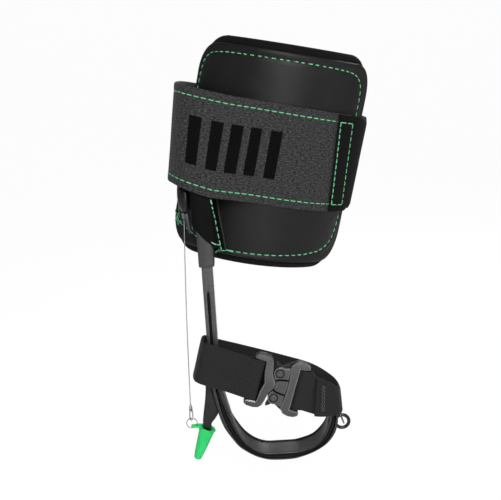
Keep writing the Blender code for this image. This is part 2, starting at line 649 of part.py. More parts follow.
rear = [(web(-84.5, 24.2, -25.2), web(-84.5, -26.8, -25.2)),
        (web(-91.0, 24.0, -24.2), web(-89.0, -26.6, -24.2)),
        (web(-95.6, 23.4, -20.6), web(-93.2, -26.6, -20.6)),
        (web(-98.0, 22.6, -12.5), web(-95.4, -26.8, -12.5)),
        (web(-98.6, 21.4, -1.0), web(-96.0, -27.4, -1.0)),
        (web(-97.6, 20.2, 10.0), web(-95.2, -28.6, 10.0)),
        (web(-94.6, 19.2, 17.6), web(-92.4, -30.0, 17.6)),
        (web(-88.5, 18.4, 21.2), web(-87.0, -31.2, 21.2)),
        (web(-76.0, 18.0, 22.0), web(-76.0, -32.0, 22.0)),
        (web(-50.0, 18.2, 21.6), web(-50.0, -31.8, 21.6)),
        (web(-20.0, 18.8, 21.6), web(-20.0, -31.2, 21.6)),
        (web(10.0, 19.0, 21.6), web(10.0, -31.0, 21.6)),
        (web(34.0, 18.6, 21.6), web(34.0, -31.0, 21.6)),
        ((50.0, 21.6, 94.4), (38.5, 21.6, 47.2)),
        ((61.0, 20.6, 86.4), (56.0, 20.6, 43.0)),
        ((67.2, 17.4, 82.0), (66.8, 18.6, 42.2)),
        ((70.9, 9.0, 79.8), (72.2, 10.4, 43.4)),
        ((71.8, -2.0, 79.6), (74.4, -2.0, 44.2)),
        ((70.8, -11.6, 81.4), (73.0, -12.4, 45.2)),
        ((67.2, -19.6, 85.4), (68.2, -20.4, 46.4)),
        ((60.0, -24.6, 91.4), (58.0, -25.0, 48.2)),
        ((51.0, -27.6, 97.2), (47.5, -27.9, 50.2)),
        ((43.4, -30.0, 102.2), (38.2, -30.2, 52.4))]
place("ankle_strap_rear", band(rear, WEB_T), M_WEB, smooth=True)

short = []
right = [((60.5, -21.4, 89.6), (57.0, -21.6, 47.6)), ((52.0, -23.9, 94.6), (48.6, -24.2, 49.4)),
         ((44.0, -26.4, 99.6), (38.8, -26.7, 53.4))]
short += right
short += loop_stations(-1.0, F_BAR, [(36.5, -32.2), (32.0, -33.9)], [(33.0, -26.9), (38.5, -24.9)], 24.6)
place("ankle_strap_short", band(short, WEB_T), M_WEB, smooth=True)

# wire link that ties the strap's fold to the eye, threaded through it
lk_d = Vector((-0.33, 0, 0.944))
lk_c = Vector((73.0, 0, 36.9))
lk = []
for k in range(18):
    a = 2 * math.pi * k / 18
    ca, sa = math.cos(a), math.sin(a)
    lk.append(lk_c + lk_d * (9.2 * math.copysign(abs(sa) ** 0.7, sa))
              + Vector((0, 4.3 * math.copysign(abs(ca) ** 0.7, ca), 0)))

# ===========================================================================
#  buckle
# ===========================================================================


def bxyz(p, y):
    return tuple(buck(p[0], p[1], y))


def mirrored(half):
    """Close a half outline (t >= 0, running up) with its mirror image."""
    return half + [(s, -t) for s, t in reversed(half) if t > 1e-6]


Y_F, Y_B = -38.2, -27.4          # front and back of the buckle
Y_L0, Y_L1 = -34.1, -31.3        # the layer the tongue and latches share

# tongue half: webbing frame with a pointed nose, bar and blade
frame_half = [(-3.0, 0.0), (-8.8, 12.5), (-10.4, 22.0), (-12.2, 28.6), (-16.0, 32.8), (-22.0, 34.0),
              (-30.0, 33.0), (-33.8, 30.2), (-33.8, 27.0), (-31.0, 25.6), (-22.4, 25.6)]
tongue = place("buckle_tongue", prism(mirrored(frame_half), bxyz, Y_F, Y_B), M_BUCKLE)
m_bar = place("bar_tool", turned([(0, -27.5), (BAR_R, -27.5), (BAR_R, 27.5), (0, 27.5)],
                                 buck(M_BAR, 0, BAR_Y), bn, 12), M_BUCKLE)
blade_t = place("blade_tool", prism([(-14.0, -8.0), (9.0, -8.0), (12.0, -5.5), (12.0, 5.5), (9.0, 8.0),
                                     (-14.0, 8.0)], bxyz, Y_L0 + 0.2, Y_L1 - 0.2), M_BUCKLE)
combine(tongue, [m_bar, blade_t], 'UNION')

# receiving half: back plate, arm, hooks and bar
arm_half = [(10.6, 0.0), (10.6, 22.5), (11.4, 28.0), (15.0, 32.6), (20.5, 34.4), (27.0, 34.0), (31.6, 31.2),
            (32.2, 27.4), (29.4, 26.0), (21.4, 25.6)]
body_f = place("buckle_body", prism(mirrored(arm_half), bxyz, Y_F, Y_B), M_BUCKLE)
f_bar = place("bar_tool", turned([(0, -27.5), (BAR_R, -27.5), (BAR_R, 27.5), (0, 27.5)],
                                 buck(F_BAR, 0, BAR_Y), bn, 12), M_BUCKLE)
plate_half = [(-1.6, 0.0), (-6.0, 9.0), (-8.1, 14.0), (-7.5, 18.6), (-4.6, 22.0), (0.0, 23.2), (12.0, 24.5)]
plate = place("plate_tool", prism(mirrored(plate_half), bxyz, Y_L1 + GAP, Y_B), M_BUCKLE)
combine(body_f, [f_bar, plate], 'UNION')
# mouth through the arm for the tongue's end
mouth = place("mouth_tool", prism([(8.0, -8.6), (13.2, -8.6), (13.2, 8.6), (8.0, 8.6)], bxyz,
                                  Y_L0 - 0.2, Y_L1 + 0.2), M_BUCKLE)
combine(body_f, [mouth], 'DIFFERENCE')

# front cover with a round boss over each latch pin and a centre bridge
cov_half = [(-1.9, 0.0), (-4.2, 6.6), (-7.2, 11.4), (-8.3, 15.4), (-7.5, 19.2), (-5.0, 22.4), (-1.2, 23.4),
            (3.2, 22.4), (10.25, 22.4)]
cover = place("buckle_cover", prism(mirrored(cov_half), bxyz, -37.6, Y_L0 - GAP), M_BUCKLE)
for sgn in (1, -1):
    cut = place("slit_tool", prism([(-6.0, sgn * 8.0), (-6.0, sgn * 9.6), (8.8, sgn * 9.3), (8.8, sgn * 8.2)],
                                   bxyz, -38.4, -36.4), M_BUCKLE)
    combine(cover, [cut], 'DIFFERENCE')

PIV = (-1.4, 15.4)
for tag, sgn in (("upper", 1), ("lower", -1)):
    # latch: claw beside the tongue, hub on the pin, press ear outside the cover
    lat = [(-4.4, 9.2), (2.4, 8.5), (6.4, 8.5), (7.4, 10.4), (4.8, 13.2), (2.6, 18.6), (-0.6, 21.0),
           (-3.0, 25.4), (-7.8, 28.6), (-8.6, 26.6), (-7.6, 21.8), (-6.0, 17.0)]
    lat = [(s, t * sgn) for s, t in lat]
    org = tuple(buck(PIV[0], PIV[1] * sgn, (Y_L0 + Y_L1) / 2))
    latch = place("latch_" + tag, prism(lat, bxyz, Y_L0, Y_L1), M_BUCKLE, origin=org)
    hole = place("hole_tool", turned([(0, -3), (2.25, -3), (2.25, 3), (0, 3)], org, (0, 1, 0), 14), M_STEEL,
                 origin=org)
    combine(latch, [hole], 'DIFFERENCE')
    # rivet through cover, latch and plate
    base = buck(PIV[0], PIV[1] * sgn, 0)
    for target in (cover, body_f):
        hole = place("hole_tool", turned([(0, -40), (2.25, -40), (2.25, -25), (0, -25)],
                                         base, (0, 1, 0), 14), M_STEEL)
        combine(target, [hole], 'DIFFERENCE')
    place("latch_rivet_" + tag,
          turned([(0, -38.9), (2.6, -38.9), (3.6, -38.5), (3.9, -37.95), (1.9, -37.95), (1.9, -27.05),
                  (3.2, -27.05), (3.0, -26.4), (0, -26.2)], base, (0, 1, 0), 14), M_BUCKLE, smooth=True)

# small coil springs that push the latch claws towards the tongue
for tag, sgn in (("upper", 1), ("lower", -1)):
    pts = []
    turns, n = 4, 4 * 9
    c0 = buck(8.1, 16.4 * sgn, (Y_L0 + Y_L1) / 2)
    for k in range(n + 1):
        a = 2 * math.pi * turns * k / n
        pts.append(c0 + bn * (-3.2 + 6.4 * k / n) + be * (1.0 * math.cos(a))
                   + Vector((0, 1.0 * math.sin(a), 0)))
    place("latch_spring_" + tag, tube(pts, 0.22, 4), M_STEEL)

# ===========================================================================
#  guard reel on the pocket's side
# ===========================================================================
AX = (1, 0, 0)
RO = (0, REEL_Y, REEL_Z)
place("reel_case_outer", turned(
    [(0, -106.6), (8.0, -106.4), (14.0, -105.4), (18.2, -103.2), (20.0, -100.6), (20.0, -99.8),
     (18.3, -99.8), (18.3, -101.2), (16.8, -102.6), (12.0, -104.2), (0, -104.8)], RO, AX, 26, hollow=True),
    M_PLASTIC, smooth=True)
place("reel_case_inner", turned(
    [(0, -92.6), (16.0, -92.6), (19.0, -93.6), (20.0, -95.4), (20.0, -99.5), (18.3, -99.5), (18.3, -95.6),
     (17.6, -94.6), (0, -94.2)], RO, AX, 26, hollow=True), M_PLASTIC, smooth=True)
place("reel_axle", turned([(0, -104.2), (1.7, -104.2), (1.7, -94.6), (0, -94.6)], RO, AX, 12), M_STEEL,
      smooth=True)
place("reel_drum", turned(
    [(2.1, -96.4), (2.1, -95.1), (16.9, -95.1), (16.9, -96.2), (14.6, -96.8), (14.6, -100.4), (16.6, -101.2),
     (15.9, -102.0), (12.6, -102.0), (12.6, -96.4)], RO, AX, 22, hollow=True), M_PLASTIC, smooth=True,
      origin=(-98.5, REEL_Y, REEL_Z))
# flat spiral spring inside the drum
sp_o, sp_i = [], []
n = 44
for k in range(n + 1):
    a = 2 * math.pi * 2.75 * k / n
    r = 3.2 + (11.6 - 3.2) * k / n
    for rows, rr in ((sp_o, r + 0.18), (sp_i, r - 0.18)):
        y, z = REEL_Y + rr * math.cos(a), REEL_Z + rr * math.sin(a)
        rows.append([(-101.6, y, z), (-97.2, y, z)])
place("reel_spring", ribbon_loft(sp_o, sp_i), M_STEEL)
place("reel_nozzle", turned([(0.9, -27.6), (2.3, -27.6), (2.9, -24.0), (3.2, -20.9), (0.9, -20.9)],
                            (-100.9, REEL_Y, REEL_Z), (0, 0, 1), 14, hollow=True), M_PLASTIC, smooth=True)
clip = [(334.0, -5.5), (338.5, -2.5), (338.5, 2.5), (334.0, 5.5), (290.0, 5.0), (279.0, 3.4), (276.0, 0.0),
        (279.0, -3.4), (290.0, -5.0)]
place("reel_clip", prism([(y + REEL_Y, z) for z, y in clip], lambda p, x: (x, p[0], p[1]), -92.3, -91.25),
      M_STEEL)

# ===========================================================================
#  tether wire from the reel to the swivel, drawn taut
# ===========================================================================
W0 = Vector((-100.9, REEL_Y, REEL_Z - 27.95))
W1 = Vector((SW_X, 0, BAR_Z0 + 6.75))
cu = bpy.data.curves.new("tether_wire", 'CURVE')
cu.dimensions = '3D'
cu.resolution_u = 1
cu.render_resolution_u = 0
cu.bevel_depth = WIRE_D / 2 * MM
cu.bevel_resolution = 1
cu.use_fill_caps = True
sp = cu.splines.new('POLY')
N = 12
sp.points.add(N)
for k in range(N + 1):
    t = k / N
    p = W0.lerp(W1, t)
    p.x -= 0.9 * math.sin(math.pi * t)
    sp.points[k].co = (*(p * MM), 1.0)
wire = bpy.data.objects.new("tether_wire", cu)
cu.materials.append(M_STEEL)
ROOT.objects.link(wire)

place("strap_link", tube(lk, 0.85, 6, closed=True), M_STEEL, smooth=True)
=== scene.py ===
"""Looks of the tree climbing spur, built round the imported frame.

Lengths are written in millimetres and turned into metres when a piece is made.
"""
import math

import bmesh
import bpy
import numpy as np
from mathutils import Matrix, Vector, noise
from mathutils.bvhtree import BVHTree


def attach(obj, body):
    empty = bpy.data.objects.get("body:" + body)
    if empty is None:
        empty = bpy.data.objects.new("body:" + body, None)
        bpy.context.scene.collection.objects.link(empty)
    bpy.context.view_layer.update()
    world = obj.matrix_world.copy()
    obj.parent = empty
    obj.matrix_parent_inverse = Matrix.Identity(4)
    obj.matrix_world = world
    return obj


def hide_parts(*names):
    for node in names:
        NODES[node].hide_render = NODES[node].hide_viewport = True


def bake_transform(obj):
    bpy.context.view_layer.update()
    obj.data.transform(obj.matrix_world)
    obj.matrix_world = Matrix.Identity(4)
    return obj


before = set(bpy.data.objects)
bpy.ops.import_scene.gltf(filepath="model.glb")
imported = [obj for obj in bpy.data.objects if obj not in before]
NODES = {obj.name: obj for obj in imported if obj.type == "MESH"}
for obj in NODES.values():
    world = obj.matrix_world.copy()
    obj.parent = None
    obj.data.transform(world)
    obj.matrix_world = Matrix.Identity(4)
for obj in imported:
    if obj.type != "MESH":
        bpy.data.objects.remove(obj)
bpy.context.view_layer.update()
MM = 0.001
ROOT = bpy.context.scene.collection
PI = math.pi

# ===========================================================================
#  camera, floor and light
# ===========================================================================
TH, ROLL = math.radians(12.8), math.radians(3.5)
right = Vector((1, 0, 0))
fwd = Vector((0, math.cos(TH), -math.sin(TH)))
up = Vector((0, math.sin(TH), math.cos(TH)))
r2 = right * math.cos(ROLL) - up * math.sin(ROLL)
u2 = right * math.sin(ROLL) + up * math.cos(ROLL)
cam_data = bpy.data.cameras.new("camera")
cam_data.sensor_width = 36.0
cam_data.lens = 836.0 / 501.0 * 36.0
cam_data.clip_start, cam_data.clip_end = 0.05, 30.0
cam = bpy.data.objects.new("camera", cam_data)
m = Matrix((r2, u2, -fwd)).transposed().to_4x4()
m.translation = Vector((-0.02510395, -0.95, 0.4675277))
cam.matrix_world = m
ROOT.objects.link(cam)
bpy.context.scene.camera = cam
bpy.context.scene.view_settings.view_transform = 'Standard'


def node_mat(name):
    mat = bpy.data.materials.new(name)
    mat.use_nodes = True
    nt = mat.node_tree
    return mat, nt, nt.nodes["Principled BSDF"]


# studio: white cyclorama floor and surround, lit evenly, with soft boxes for the object
fm, nt, b = node_mat("studio_floor")
b.inputs["Base Color"].default_value = (0.90, 0.90, 0.90, 1)
b.inputs["Roughness"].default_value = 0.9
b.inputs["Specular IOR Level"].default_value = 0.1
glow = nt.nodes.new("ShaderNodeEmission")
glow.inputs["Color"].default_value = (1, 1, 1, 1)
glow.inputs["Strength"].default_value = 1.06
ray = nt.nodes.new("ShaderNodeLightPath")
part_ = nt.nodes.new("ShaderNodeMath")
part_.operation = 'MULTIPLY'
part_.inputs[1].default_value = 0.9
nt.links.new(ray.outputs["Is Camera Ray"], part_.inputs[0])
mixs = nt.nodes.new("ShaderNodeMixShader")
nt.links.new(part_.outputs[0], mixs.inputs[0])
nt.links.new(b.outputs[0], mixs.inputs[1])
nt.links.new(glow.outputs[0], mixs.inputs[2])
nt.links.new(mixs.outputs[0], nt.nodes["Material Output"].inputs["Surface"])
bm = bmesh.new()
FZ = -0.066
prof = [(-2.2, 0.0), (1.6, 0.0)]
for k in range(1, 13):
    a = PI / 2 * k / 12
    prof.append((1.6 + 1.2 * math.sin(a), 1.2 * (1 - math.cos(a))))
prof.append((2.8, 4.0))
rows = [[bm.verts.new((x, y, FZ + z)) for x in (-3.5, 3.5)] for y, z in prof]
for a_, b_ in zip(rows, rows[1:]):
    bm.faces.new((a_[0], a_[1], b_[1], b_[0]))
me = bpy.data.meshes.new("studio_floor")
bm.to_mesh(me)
bm.free()
me.shade_smooth()
floor = bpy.data.objects.new("studio_floor", me)
floor.data.materials.append(fm)
ROOT.objects.link(floor)

world = bpy.data.worlds.new("studio")
bpy.context.scene.world = world
world.use_nodes = True
wt = world.node_tree
bg = wt.nodes["Background"]
bg.inputs["Color"].default_value = (1, 1, 1, 1)
wray = wt.nodes.new("ShaderNodeLightPath")
wr = wt.nodes.new("ShaderNodeMapRange")
wr.inputs["To Min"].default_value = 0.17
wr.inputs["To Max"].default_value = 1.0
wt.links.new(wray.outputs["Is Camera Ray"], wr.inputs["Value"])
wt.links.new(wr.outputs["Result"], bg.inputs["Strength"])


def area(name, loc, target, size, power, size_y=None):
    li = bpy.data.lights.new(name, 'AREA')
    li.shape = 'RECTANGLE'
    li.size = size
    li.size_y = size_y or size
    li.energy = power
    ob = bpy.data.objects.new(name, li)
    ob.location = loc
    ob.rotation_euler = (Vector(target) - Vector(loc)).to_track_quat('-Z', 'Y').to_euler()
    ROOT.objects.link(ob)
    return ob


area("key_light", (0.10, -1.35, 1.05), (0.0, 0.0, 0.30), 0.5, 11.0, 0.5)
area("fill_light", (1.4, -0.6, 0.7), (0.0, 0.0, 0.25), 0.3, 2.2, 1.0)
area("side_light", (-1.4, -0.5, 0.5), (0.0, 0.0, 0.2), 0.22, 0.8, 1.2)
area("back_light", (0.5, 1.2, 1.2), (0.0, 0.0, 0.25), 0.9, 8.5, 0.6)
area("front_low", (0.2, -1.6, 0.30), (0.0, 0.0, 0.10), 0.4, 2.6, 0.7)

# ===========================================================================
#  materials
# ===========================================================================


def link(nt, a, b):
    nt.links.new(a, b)


def math_node(nt, op, a, b=None, c=None):
    n = nt.nodes.new("ShaderNodeMath")
    n.operation = op
    for i, v in enumerate((a, b, c)):
        if v is None:
            continue
        if isinstance(v, (int, float)):
            n.inputs[i].default_value = v
        else:
            link(nt, v, n.inputs[i])
    return n.outputs[0]


def coords(nt):
    return nt.nodes.new("ShaderNodeTexCoord").outputs["Object"]


def noise_node(nt, vec, scale, detail=3.0, rough=0.55):
    n = nt.nodes.new("ShaderNodeTexNoise")
    n.inputs["Scale"].default_value = scale
    n.inputs["Detail"].default_value = detail
    n.inputs["Roughness"].default_value = rough
    link(nt, vec, n.inputs["Vector"])
    return n.outputs["Fac"]


def ramp(nt, fac, lo, hi, a=0.0, b=1.0):
    """Map fac from a..b onto the colours lo..hi."""
    n = nt.nodes.new("ShaderNodeMix")
    n.data_type = 'RGBA'
    t = nt.nodes.new("ShaderNodeMapRange")
    t.inputs["From Min"].default_value = a
    t.inputs["From Max"].default_value = b
    link(nt, fac, t.inputs["Value"])
    link(nt, t.outputs["Result"], n.inputs["Factor"])
    for key, v in (("A", lo), ("B", hi)):
        sock = [s for s in n.inputs if s.name == key and s.type == 'RGBA'][0]
        if isinstance(v, (tuple, list)):
            sock.default_value = (*v, 1.0)
        else:
            link(nt, v, sock)
    return [s for s in n.outputs if s.type == 'RGBA'][0]


def value_range(nt, fac, lo, hi, a=0.0, b=1.0):
    t = nt.nodes.new("ShaderNodeMapRange")
    for k, v in (("From Min", a), ("From Max", b), ("To Min", lo), ("To Max", hi)):
        t.inputs[k].default_value = v
    link(nt, fac, t.inputs["Value"])
    return t.outputs["Result"]


def bump(nt, b, height, dist, strength=1.0, prev=None):
    n = nt.nodes.new("ShaderNodeBump")
    n.inputs["Distance"].default_value = dist
    n.inputs["Strength"].default_value = strength
    link(nt, height, n.inputs["Height"])
    if prev is not None:
        link(nt, prev, n.inputs["Normal"])
    link(nt, n.outputs["Normal"], b.inputs["Normal"])
    return n.outputs["Normal"]


def grey(v):
    return (v, v, v)


def metal_coat(name, dark, light, rough, metallic=0.0, peel=0.00006, wear=0.0, spec=0.5, tint=(1, 1, 1), painted_top_light=None):
    """Painted or coated metal: tone variation, orange peel, paler worn edges and, when asked, painted light that pales
    the coat higher up.
    """
    mat, nt, b = node_mat(name)
    v = coords(nt)
    big = noise_node(nt, v, 55.0, 4.0)
    fine = noise_node(nt, v, 1700.0, 2.0)
    lo = tuple(dark * t for t in tint)
    hi = tuple(light * t for t in tint)
    col = ramp(nt, big, lo, hi, 0.3, 0.72)
    if wear > 0:
        geo = nt.nodes.new("ShaderNodeNewGeometry")
        edge = value_range(nt, geo.outputs["Pointiness"], 0.0, 1.0, 0.515, 0.60)
        scr = noise_node(nt, v, 240.0, 5.0, 0.7)
        edge = math_node(nt, 'MULTIPLY', edge, value_range(nt, scr, 0.1, 1.0, 0.35, 0.65))
        edge = math_node(nt, 'MULTIPLY', edge, wear)
        worn = tuple(min(1.0, light * 3.2 + 0.03) * t for t in tint)
        col = ramp(nt, edge, col, worn)
    if painted_top_light:
        # painted light: the coat is painted paler higher up the leg, as if lit from above
        sep = nt.nodes.new("ShaderNodeSeparateXYZ")
        link(nt, v, sep.inputs[0])
        k = value_range(nt, sep.outputs[2], 0.0, 1.0, painted_top_light[0], painted_top_light[1])
        k = math_node(nt, 'MULTIPLY', k, value_range(nt, noise_node(nt, v, 30.0, 3.0), 0.85, 1.0, 0.3, 0.7))
        col = ramp(nt, k, col, grey(painted_top_light[2]))
    link(nt, col, b.inputs["Base Color"])
    link(nt, value_range(nt, noise_node(nt, v, 130.0, 3.0), rough - 0.04, rough + 0.05, 0.3, 0.7),
         b.inputs["Roughness"])
    b.inputs["Metallic"].default_value = metallic
    b.inputs["Specular IOR Level"].default_value = spec
    h = bump(nt, b, fine, peel, 0.8)
    bump(nt, b, noise_node(nt, v, 320.0, 3.0), peel * 1.6, 0.5, h)
    return mat


def bright_metal(name, base, rough, grain=0.00003):
    mat, nt, b = node_mat(name)
    v = coords(nt)
    mp = nt.nodes.new("ShaderNodeMapping")
    mp.inputs["Scale"].default_value = (300.0, 300.0, 2600.0)
    link(nt, v, mp.inputs["Vector"])
    n = noise_node(nt, mp.outputs["Vector"], 1.0, 3.0)
    link(nt, ramp(nt, n, tuple(c * 0.82 for c in base), tuple(min(1, c * 1.12) for c in base), 0.3, 0.7),
         b.inputs["Base Color"])
    b.inputs["Metallic"].default_value = 1.0
    link(nt, value_range(nt, n, rough - 0.05, rough + 0.1, 0.3, 0.7), b.inputs["Roughness"])
    bump(nt, b, n, grain, 0.6)
    return mat


def uvw(nt, attr="weave"):
    """Along, across and side of a strap, in metres, stored on its mesh."""
    a = nt.nodes.new("ShaderNodeAttribute")
    a.attribute_name = attr
    s = nt.nodes.new("ShaderNodeSeparateXYZ")
    link(nt, a.outputs["Vector"], s.inputs[0])
    return a.outputs["Vector"], s.outputs[0], s.outputs[1], s.outputs[2]


def webbing(name, dark, light, pu=0.0022, pv=0.0017, depth=0.00022, rough=0.75, sheen=0.1):
    """Heavy woven webbing: rows of raised yarn crossings, each row set half a pitch on."""
    mat, nt, b = node_mat(name)
    vec, u, v, w = uvw(nt)
    row = math_node(nt, 'DIVIDE', v, pv)
    fl = math_node(nt, 'FLOOR', row)
    fv = math_node(nt, 'FRACT', row)
    shift = math_node(nt, 'MULTIPLY', fl, 0.5)
    fu = math_node(nt, 'FRACT', math_node(nt, 'ADD', math_node(nt, 'DIVIDE', u, pu), shift))
    hu = math_node(nt, 'SINE', math_node(nt, 'MULTIPLY', fu, PI))
    hv = math_node(nt, 'SINE', math_node(nt, 'MULTIPLY', fv, PI))
    h = math_node(nt, 'POWER', math_node(nt, 'MULTIPLY', hu, hv), 0.8)
    fine = noise_node(nt, vec, 1300.0, 2.0)
    wave = noise_node(nt, vec, 70.0, 3.0)
    hh = math_node(nt, 'ADD', h, math_node(nt, 'MULTIPLY', fine, 0.5))
    col = ramp(nt, hh, grey(dark), grey(light), 0.3, 1.5)
    col = ramp(nt, wave, col, grey((dark + light) * 0.35), 0.3, 1.6)
    link(nt, col, b.inputs["Base Color"])
    b.inputs["Roughness"].default_value = rough
    b.inputs["Sheen Weight"].default_value = sheen
    b.inputs["Sheen Roughness"].default_value = 0.45
    b.inputs["Specular IOR Level"].default_value = 0.2
    hn = bump(nt, b, hh, depth, 0.9)
    bump(nt, b, wave, 0.0005, 0.5, hn)
    return mat


def felt(name, dark, light, sheen=0.12):
    """Brushed loop pile, heathered: pale fibres over black ones, drawn out along the strap."""
    mat, nt, b = node_mat(name)
    vec, u, v, w = uvw(nt)
    mp = nt.nodes.new("ShaderNodeMapping")
    mp.inputs["Scale"].default_value = (300.0, 760.0, 600.0)
    link(nt, vec, mp.inputs["Vector"])
    f1 = noise_node(nt, mp.outputs["Vector"], 1.0, 4.0, 0.75)
    f2 = noise_node(nt, vec, 1500.0, 2.0, 0.8)
    f3 = noise_node(nt, vec, 38.0, 3.0)
    h = math_node(nt, 'ADD', math_node(nt, 'MULTIPLY', f1, 0.7), math_node(nt, 'MULTIPLY', f2, 0.3))
    k = math_node(nt, 'POWER', value_range(nt, h, 0.0, 1.0, 0.38, 0.66), 1.7)
    col = ramp(nt, k, grey(dark), grey(light))
    col = ramp(nt, f3, col, grey((dark + light) * 0.3), 0.35, 1.6)
    link(nt, col, b.inputs["Base Color"])
    b.inputs["Roughness"].default_value = 0.92
    b.inputs["Sheen Weight"].default_value = sheen
    b.inputs["Sheen Roughness"].default_value = 0.5
    b.inputs["Specular IOR Level"].default_value = 0.12
    hn = bump(nt, b, h, 0.0004, 0.9)
    bump(nt, b, f3, 0.0009, 0.5, hn)
    return mat


def vinyl(name, dark, light, rough=0.42, grain=0.00007, scale=1150.0, sheen=0.0, spec=0.32):
    """Coated leathercloth: fine cell grain with soft creases."""
    mat, nt, b = node_mat(name)
    v = coords(nt)
    vo = nt.nodes.new("ShaderNodeTexVoronoi")
    vo.feature = 'DISTANCE_TO_EDGE'
    vo.inputs["Scale"].default_value = scale
    wob = nt.nodes.new("ShaderNodeVectorMath")
    wob.operation = 'ADD'
    nz = nt.nodes.new("ShaderNodeTexNoise")
    nz.inputs["Scale"].default_value = 420.0
    link(nt, v, nz.inputs["Vector"])
    sc = nt.nodes.new("ShaderNodeVectorMath")
    sc.operation = 'SCALE'
    sc.inputs["Scale"].default_value = 0.0009
    link(nt, nz.outputs["Color"], sc.inputs[0])
    link(nt, v, wob.inputs[0])
    link(nt, sc.outputs[0], wob.inputs[1])
    link(nt, wob.outputs[0], vo.inputs["Vector"])
    cell = value_range(nt, vo.outputs["Distance"], 0.0, 1.0, 0.0, 0.22)
    soft = noise_node(nt, v, 26.0, 3.0)
    link(nt, ramp(nt, soft, grey(dark), grey(light), 0.3, 0.7), b.inputs["Base Color"])
    link(nt, value_range(nt, noise_node(nt, v, 75.0, 3.0), rough - 0.05, rough + 0.08, 0.3, 0.7),
         b.inputs["Roughness"])
    b.inputs["Sheen Weight"].default_value = sheen
    b.inputs["Specular IOR Level"].default_value = spec
    h = bump(nt, b, cell, grain, 0.55)
    bump(nt, b, soft, 0.0012, 0.35, h)
    return mat


def foam_cloth(name, dark, light, spec=0.15):
    """Closed foam skinned in fine knitted cloth."""
    mat, nt, b = node_mat(name)
    v = coords(nt)
    vo = nt.nodes.new("ShaderNodeTexVoronoi")
    vo.inputs["Scale"].default_value = 720.0
    link(nt, v, vo.inputs["Vector"])
    n = noise_node(nt, v, 60.0, 3.0)
    cell = vo.outputs["Distance"]
    col = ramp(nt, cell, grey(light), grey(dark), 0.1, 0.8)
    col = ramp(nt, n, col, grey((dark + light) * 0.5), 0.3, 1.3)
    link(nt, col, b.inputs["Base Color"])
    b.inputs["Roughness"].default_value = 0.85
    b.inputs["Sheen Weight"].default_value = 0.05
    b.inputs["Specular IOR Level"].default_value = spec
    h = bump(nt, b, cell, 0.00028, 0.8)
    bump(nt, b, n, 0.0009, 0.5, h)
    return mat


def thread(name, col, edge):
    """Twisted sewing thread: bright crown, darker flanks as painted shade and a ply line."""
    mat, nt, b = node_mat(name)
    vec, u, v, w = uvw(nt)
    tw = math_node(nt, 'ADD', math_node(nt, 'DIVIDE', u, 0.0011), v)
    ply = math_node(nt, 'SINE', math_node(nt, 'MULTIPLY', tw, 2 * PI))
    c = ramp(nt, ply, tuple(x * 0.72 for x in col), col, -1.0, 0.6)
    # painted shade: the edge colour darkens the flanks, the underside and the sunk ends
    c = ramp(nt, w, c, edge)
    link(nt, c, b.inputs["Base Color"])
    b.inputs["Roughness"].default_value = 0.45
    b.inputs["Sheen Weight"].default_value = 0.15
    bump(nt, b, ply, 0.00012, 0.8)
    return mat


def rubber(name, lo, hi):
    mat, nt, b = node_mat(name)
    v = coords(nt)
    n = noise_node(nt, v, 48.0, 3.0)
    link(nt, ramp(nt, n, lo, hi, 0.3, 0.7), b.inputs["Base Color"])
    link(nt, value_range(nt, noise_node(nt, v, 300.0, 3.0), 0.38, 0.55, 0.3, 0.7), b.inputs["Roughness"])
    b.inputs["Subsurface Weight"].default_value = 0.12
    b.inputs["Subsurface Radius"].default_value = (0.4, 1.0, 0.4)
    b.inputs["Subsurface Scale"].default_value = 0.003
    bump(nt, b, noise_node(nt, v, 900.0, 3.0), 0.00006, 0.7)
    return mat


def plastic(name, base, rough):
    mat, nt, b = node_mat(name)
    v = coords(nt)
    n = noise_node(nt, v, 60.0, 3.0)
    link(nt, ramp(nt, n, tuple(c * 0.8 for c in base), tuple(c * 1.25 for c in base), 0.3, 0.7),
         b.inputs["Base Color"])
    link(nt, value_range(nt, noise_node(nt, v, 180.0, 4.0), rough - 0.05, rough + 0.12, 0.3, 0.75),
         b.inputs["Roughness"])
    bump(nt, b, noise_node(nt, v, 1500.0, 2.0), 0.00002, 0.5)
    return mat


# the iron's coat carries a painted top light that pales it with height
IRON = metal_coat("iron_coat", 0.014, 0.020, 0.27, 0.0, 0.00002, 0.0, 0.6, painted_top_light=(0.058, 0.168, 0.097))
# painted shade for the channel floors, painted light for the tread and a painted highlight for the lip's edge
GROOVE_SHADE = metal_coat("iron_groove_shade", 0.003, 0.005, 0.55, 0.0, 0.00003, 0.0, 0.25)
TREAD_LIGHT = metal_coat("iron_tread_lit", 0.027, 0.039, 0.34, 0.0, 0.00003, 0.0, 0.6)
EDGE_HIGHLIGHT = metal_coat("iron_edge_highlight", 0.030, 0.046, 0.30, 0.0, 0.00002, 0.0, 0.7)
GAFFM = metal_coat("gaff_coat", 0.016, 0.024, 0.38, 0.0, 0.00003, 0.0)
SLEEVEM = metal_coat("sleeve_coat", 0.050, 0.066, 0.34, 0.0, 0.00003, 0.0, 0.6)
BUCKLEM = metal_coat("buckle_alloy", 0.066, 0.080, 0.34, 0.0, 0.00002, 0.0, 0.8, tint=(0.97, 1.0, 0.985))
# painted highlight on the buckle's chamfers; the dark coat serves the latches and is painted shade on side walls and
# the back plate
BUCKLE_HIGHLIGHT = metal_coat("buckle_chamfer_highlight", 0.155, 0.195, 0.32, 0.0, 0.00002, 0.0, 0.9, tint=(0.97, 1.0, 0.985))
BUCKLE_DARK_AND_SHADE = metal_coat("buckle_dark_and_shade", 0.010, 0.014, 0.40, 0.0, 0.00002, 0.0)
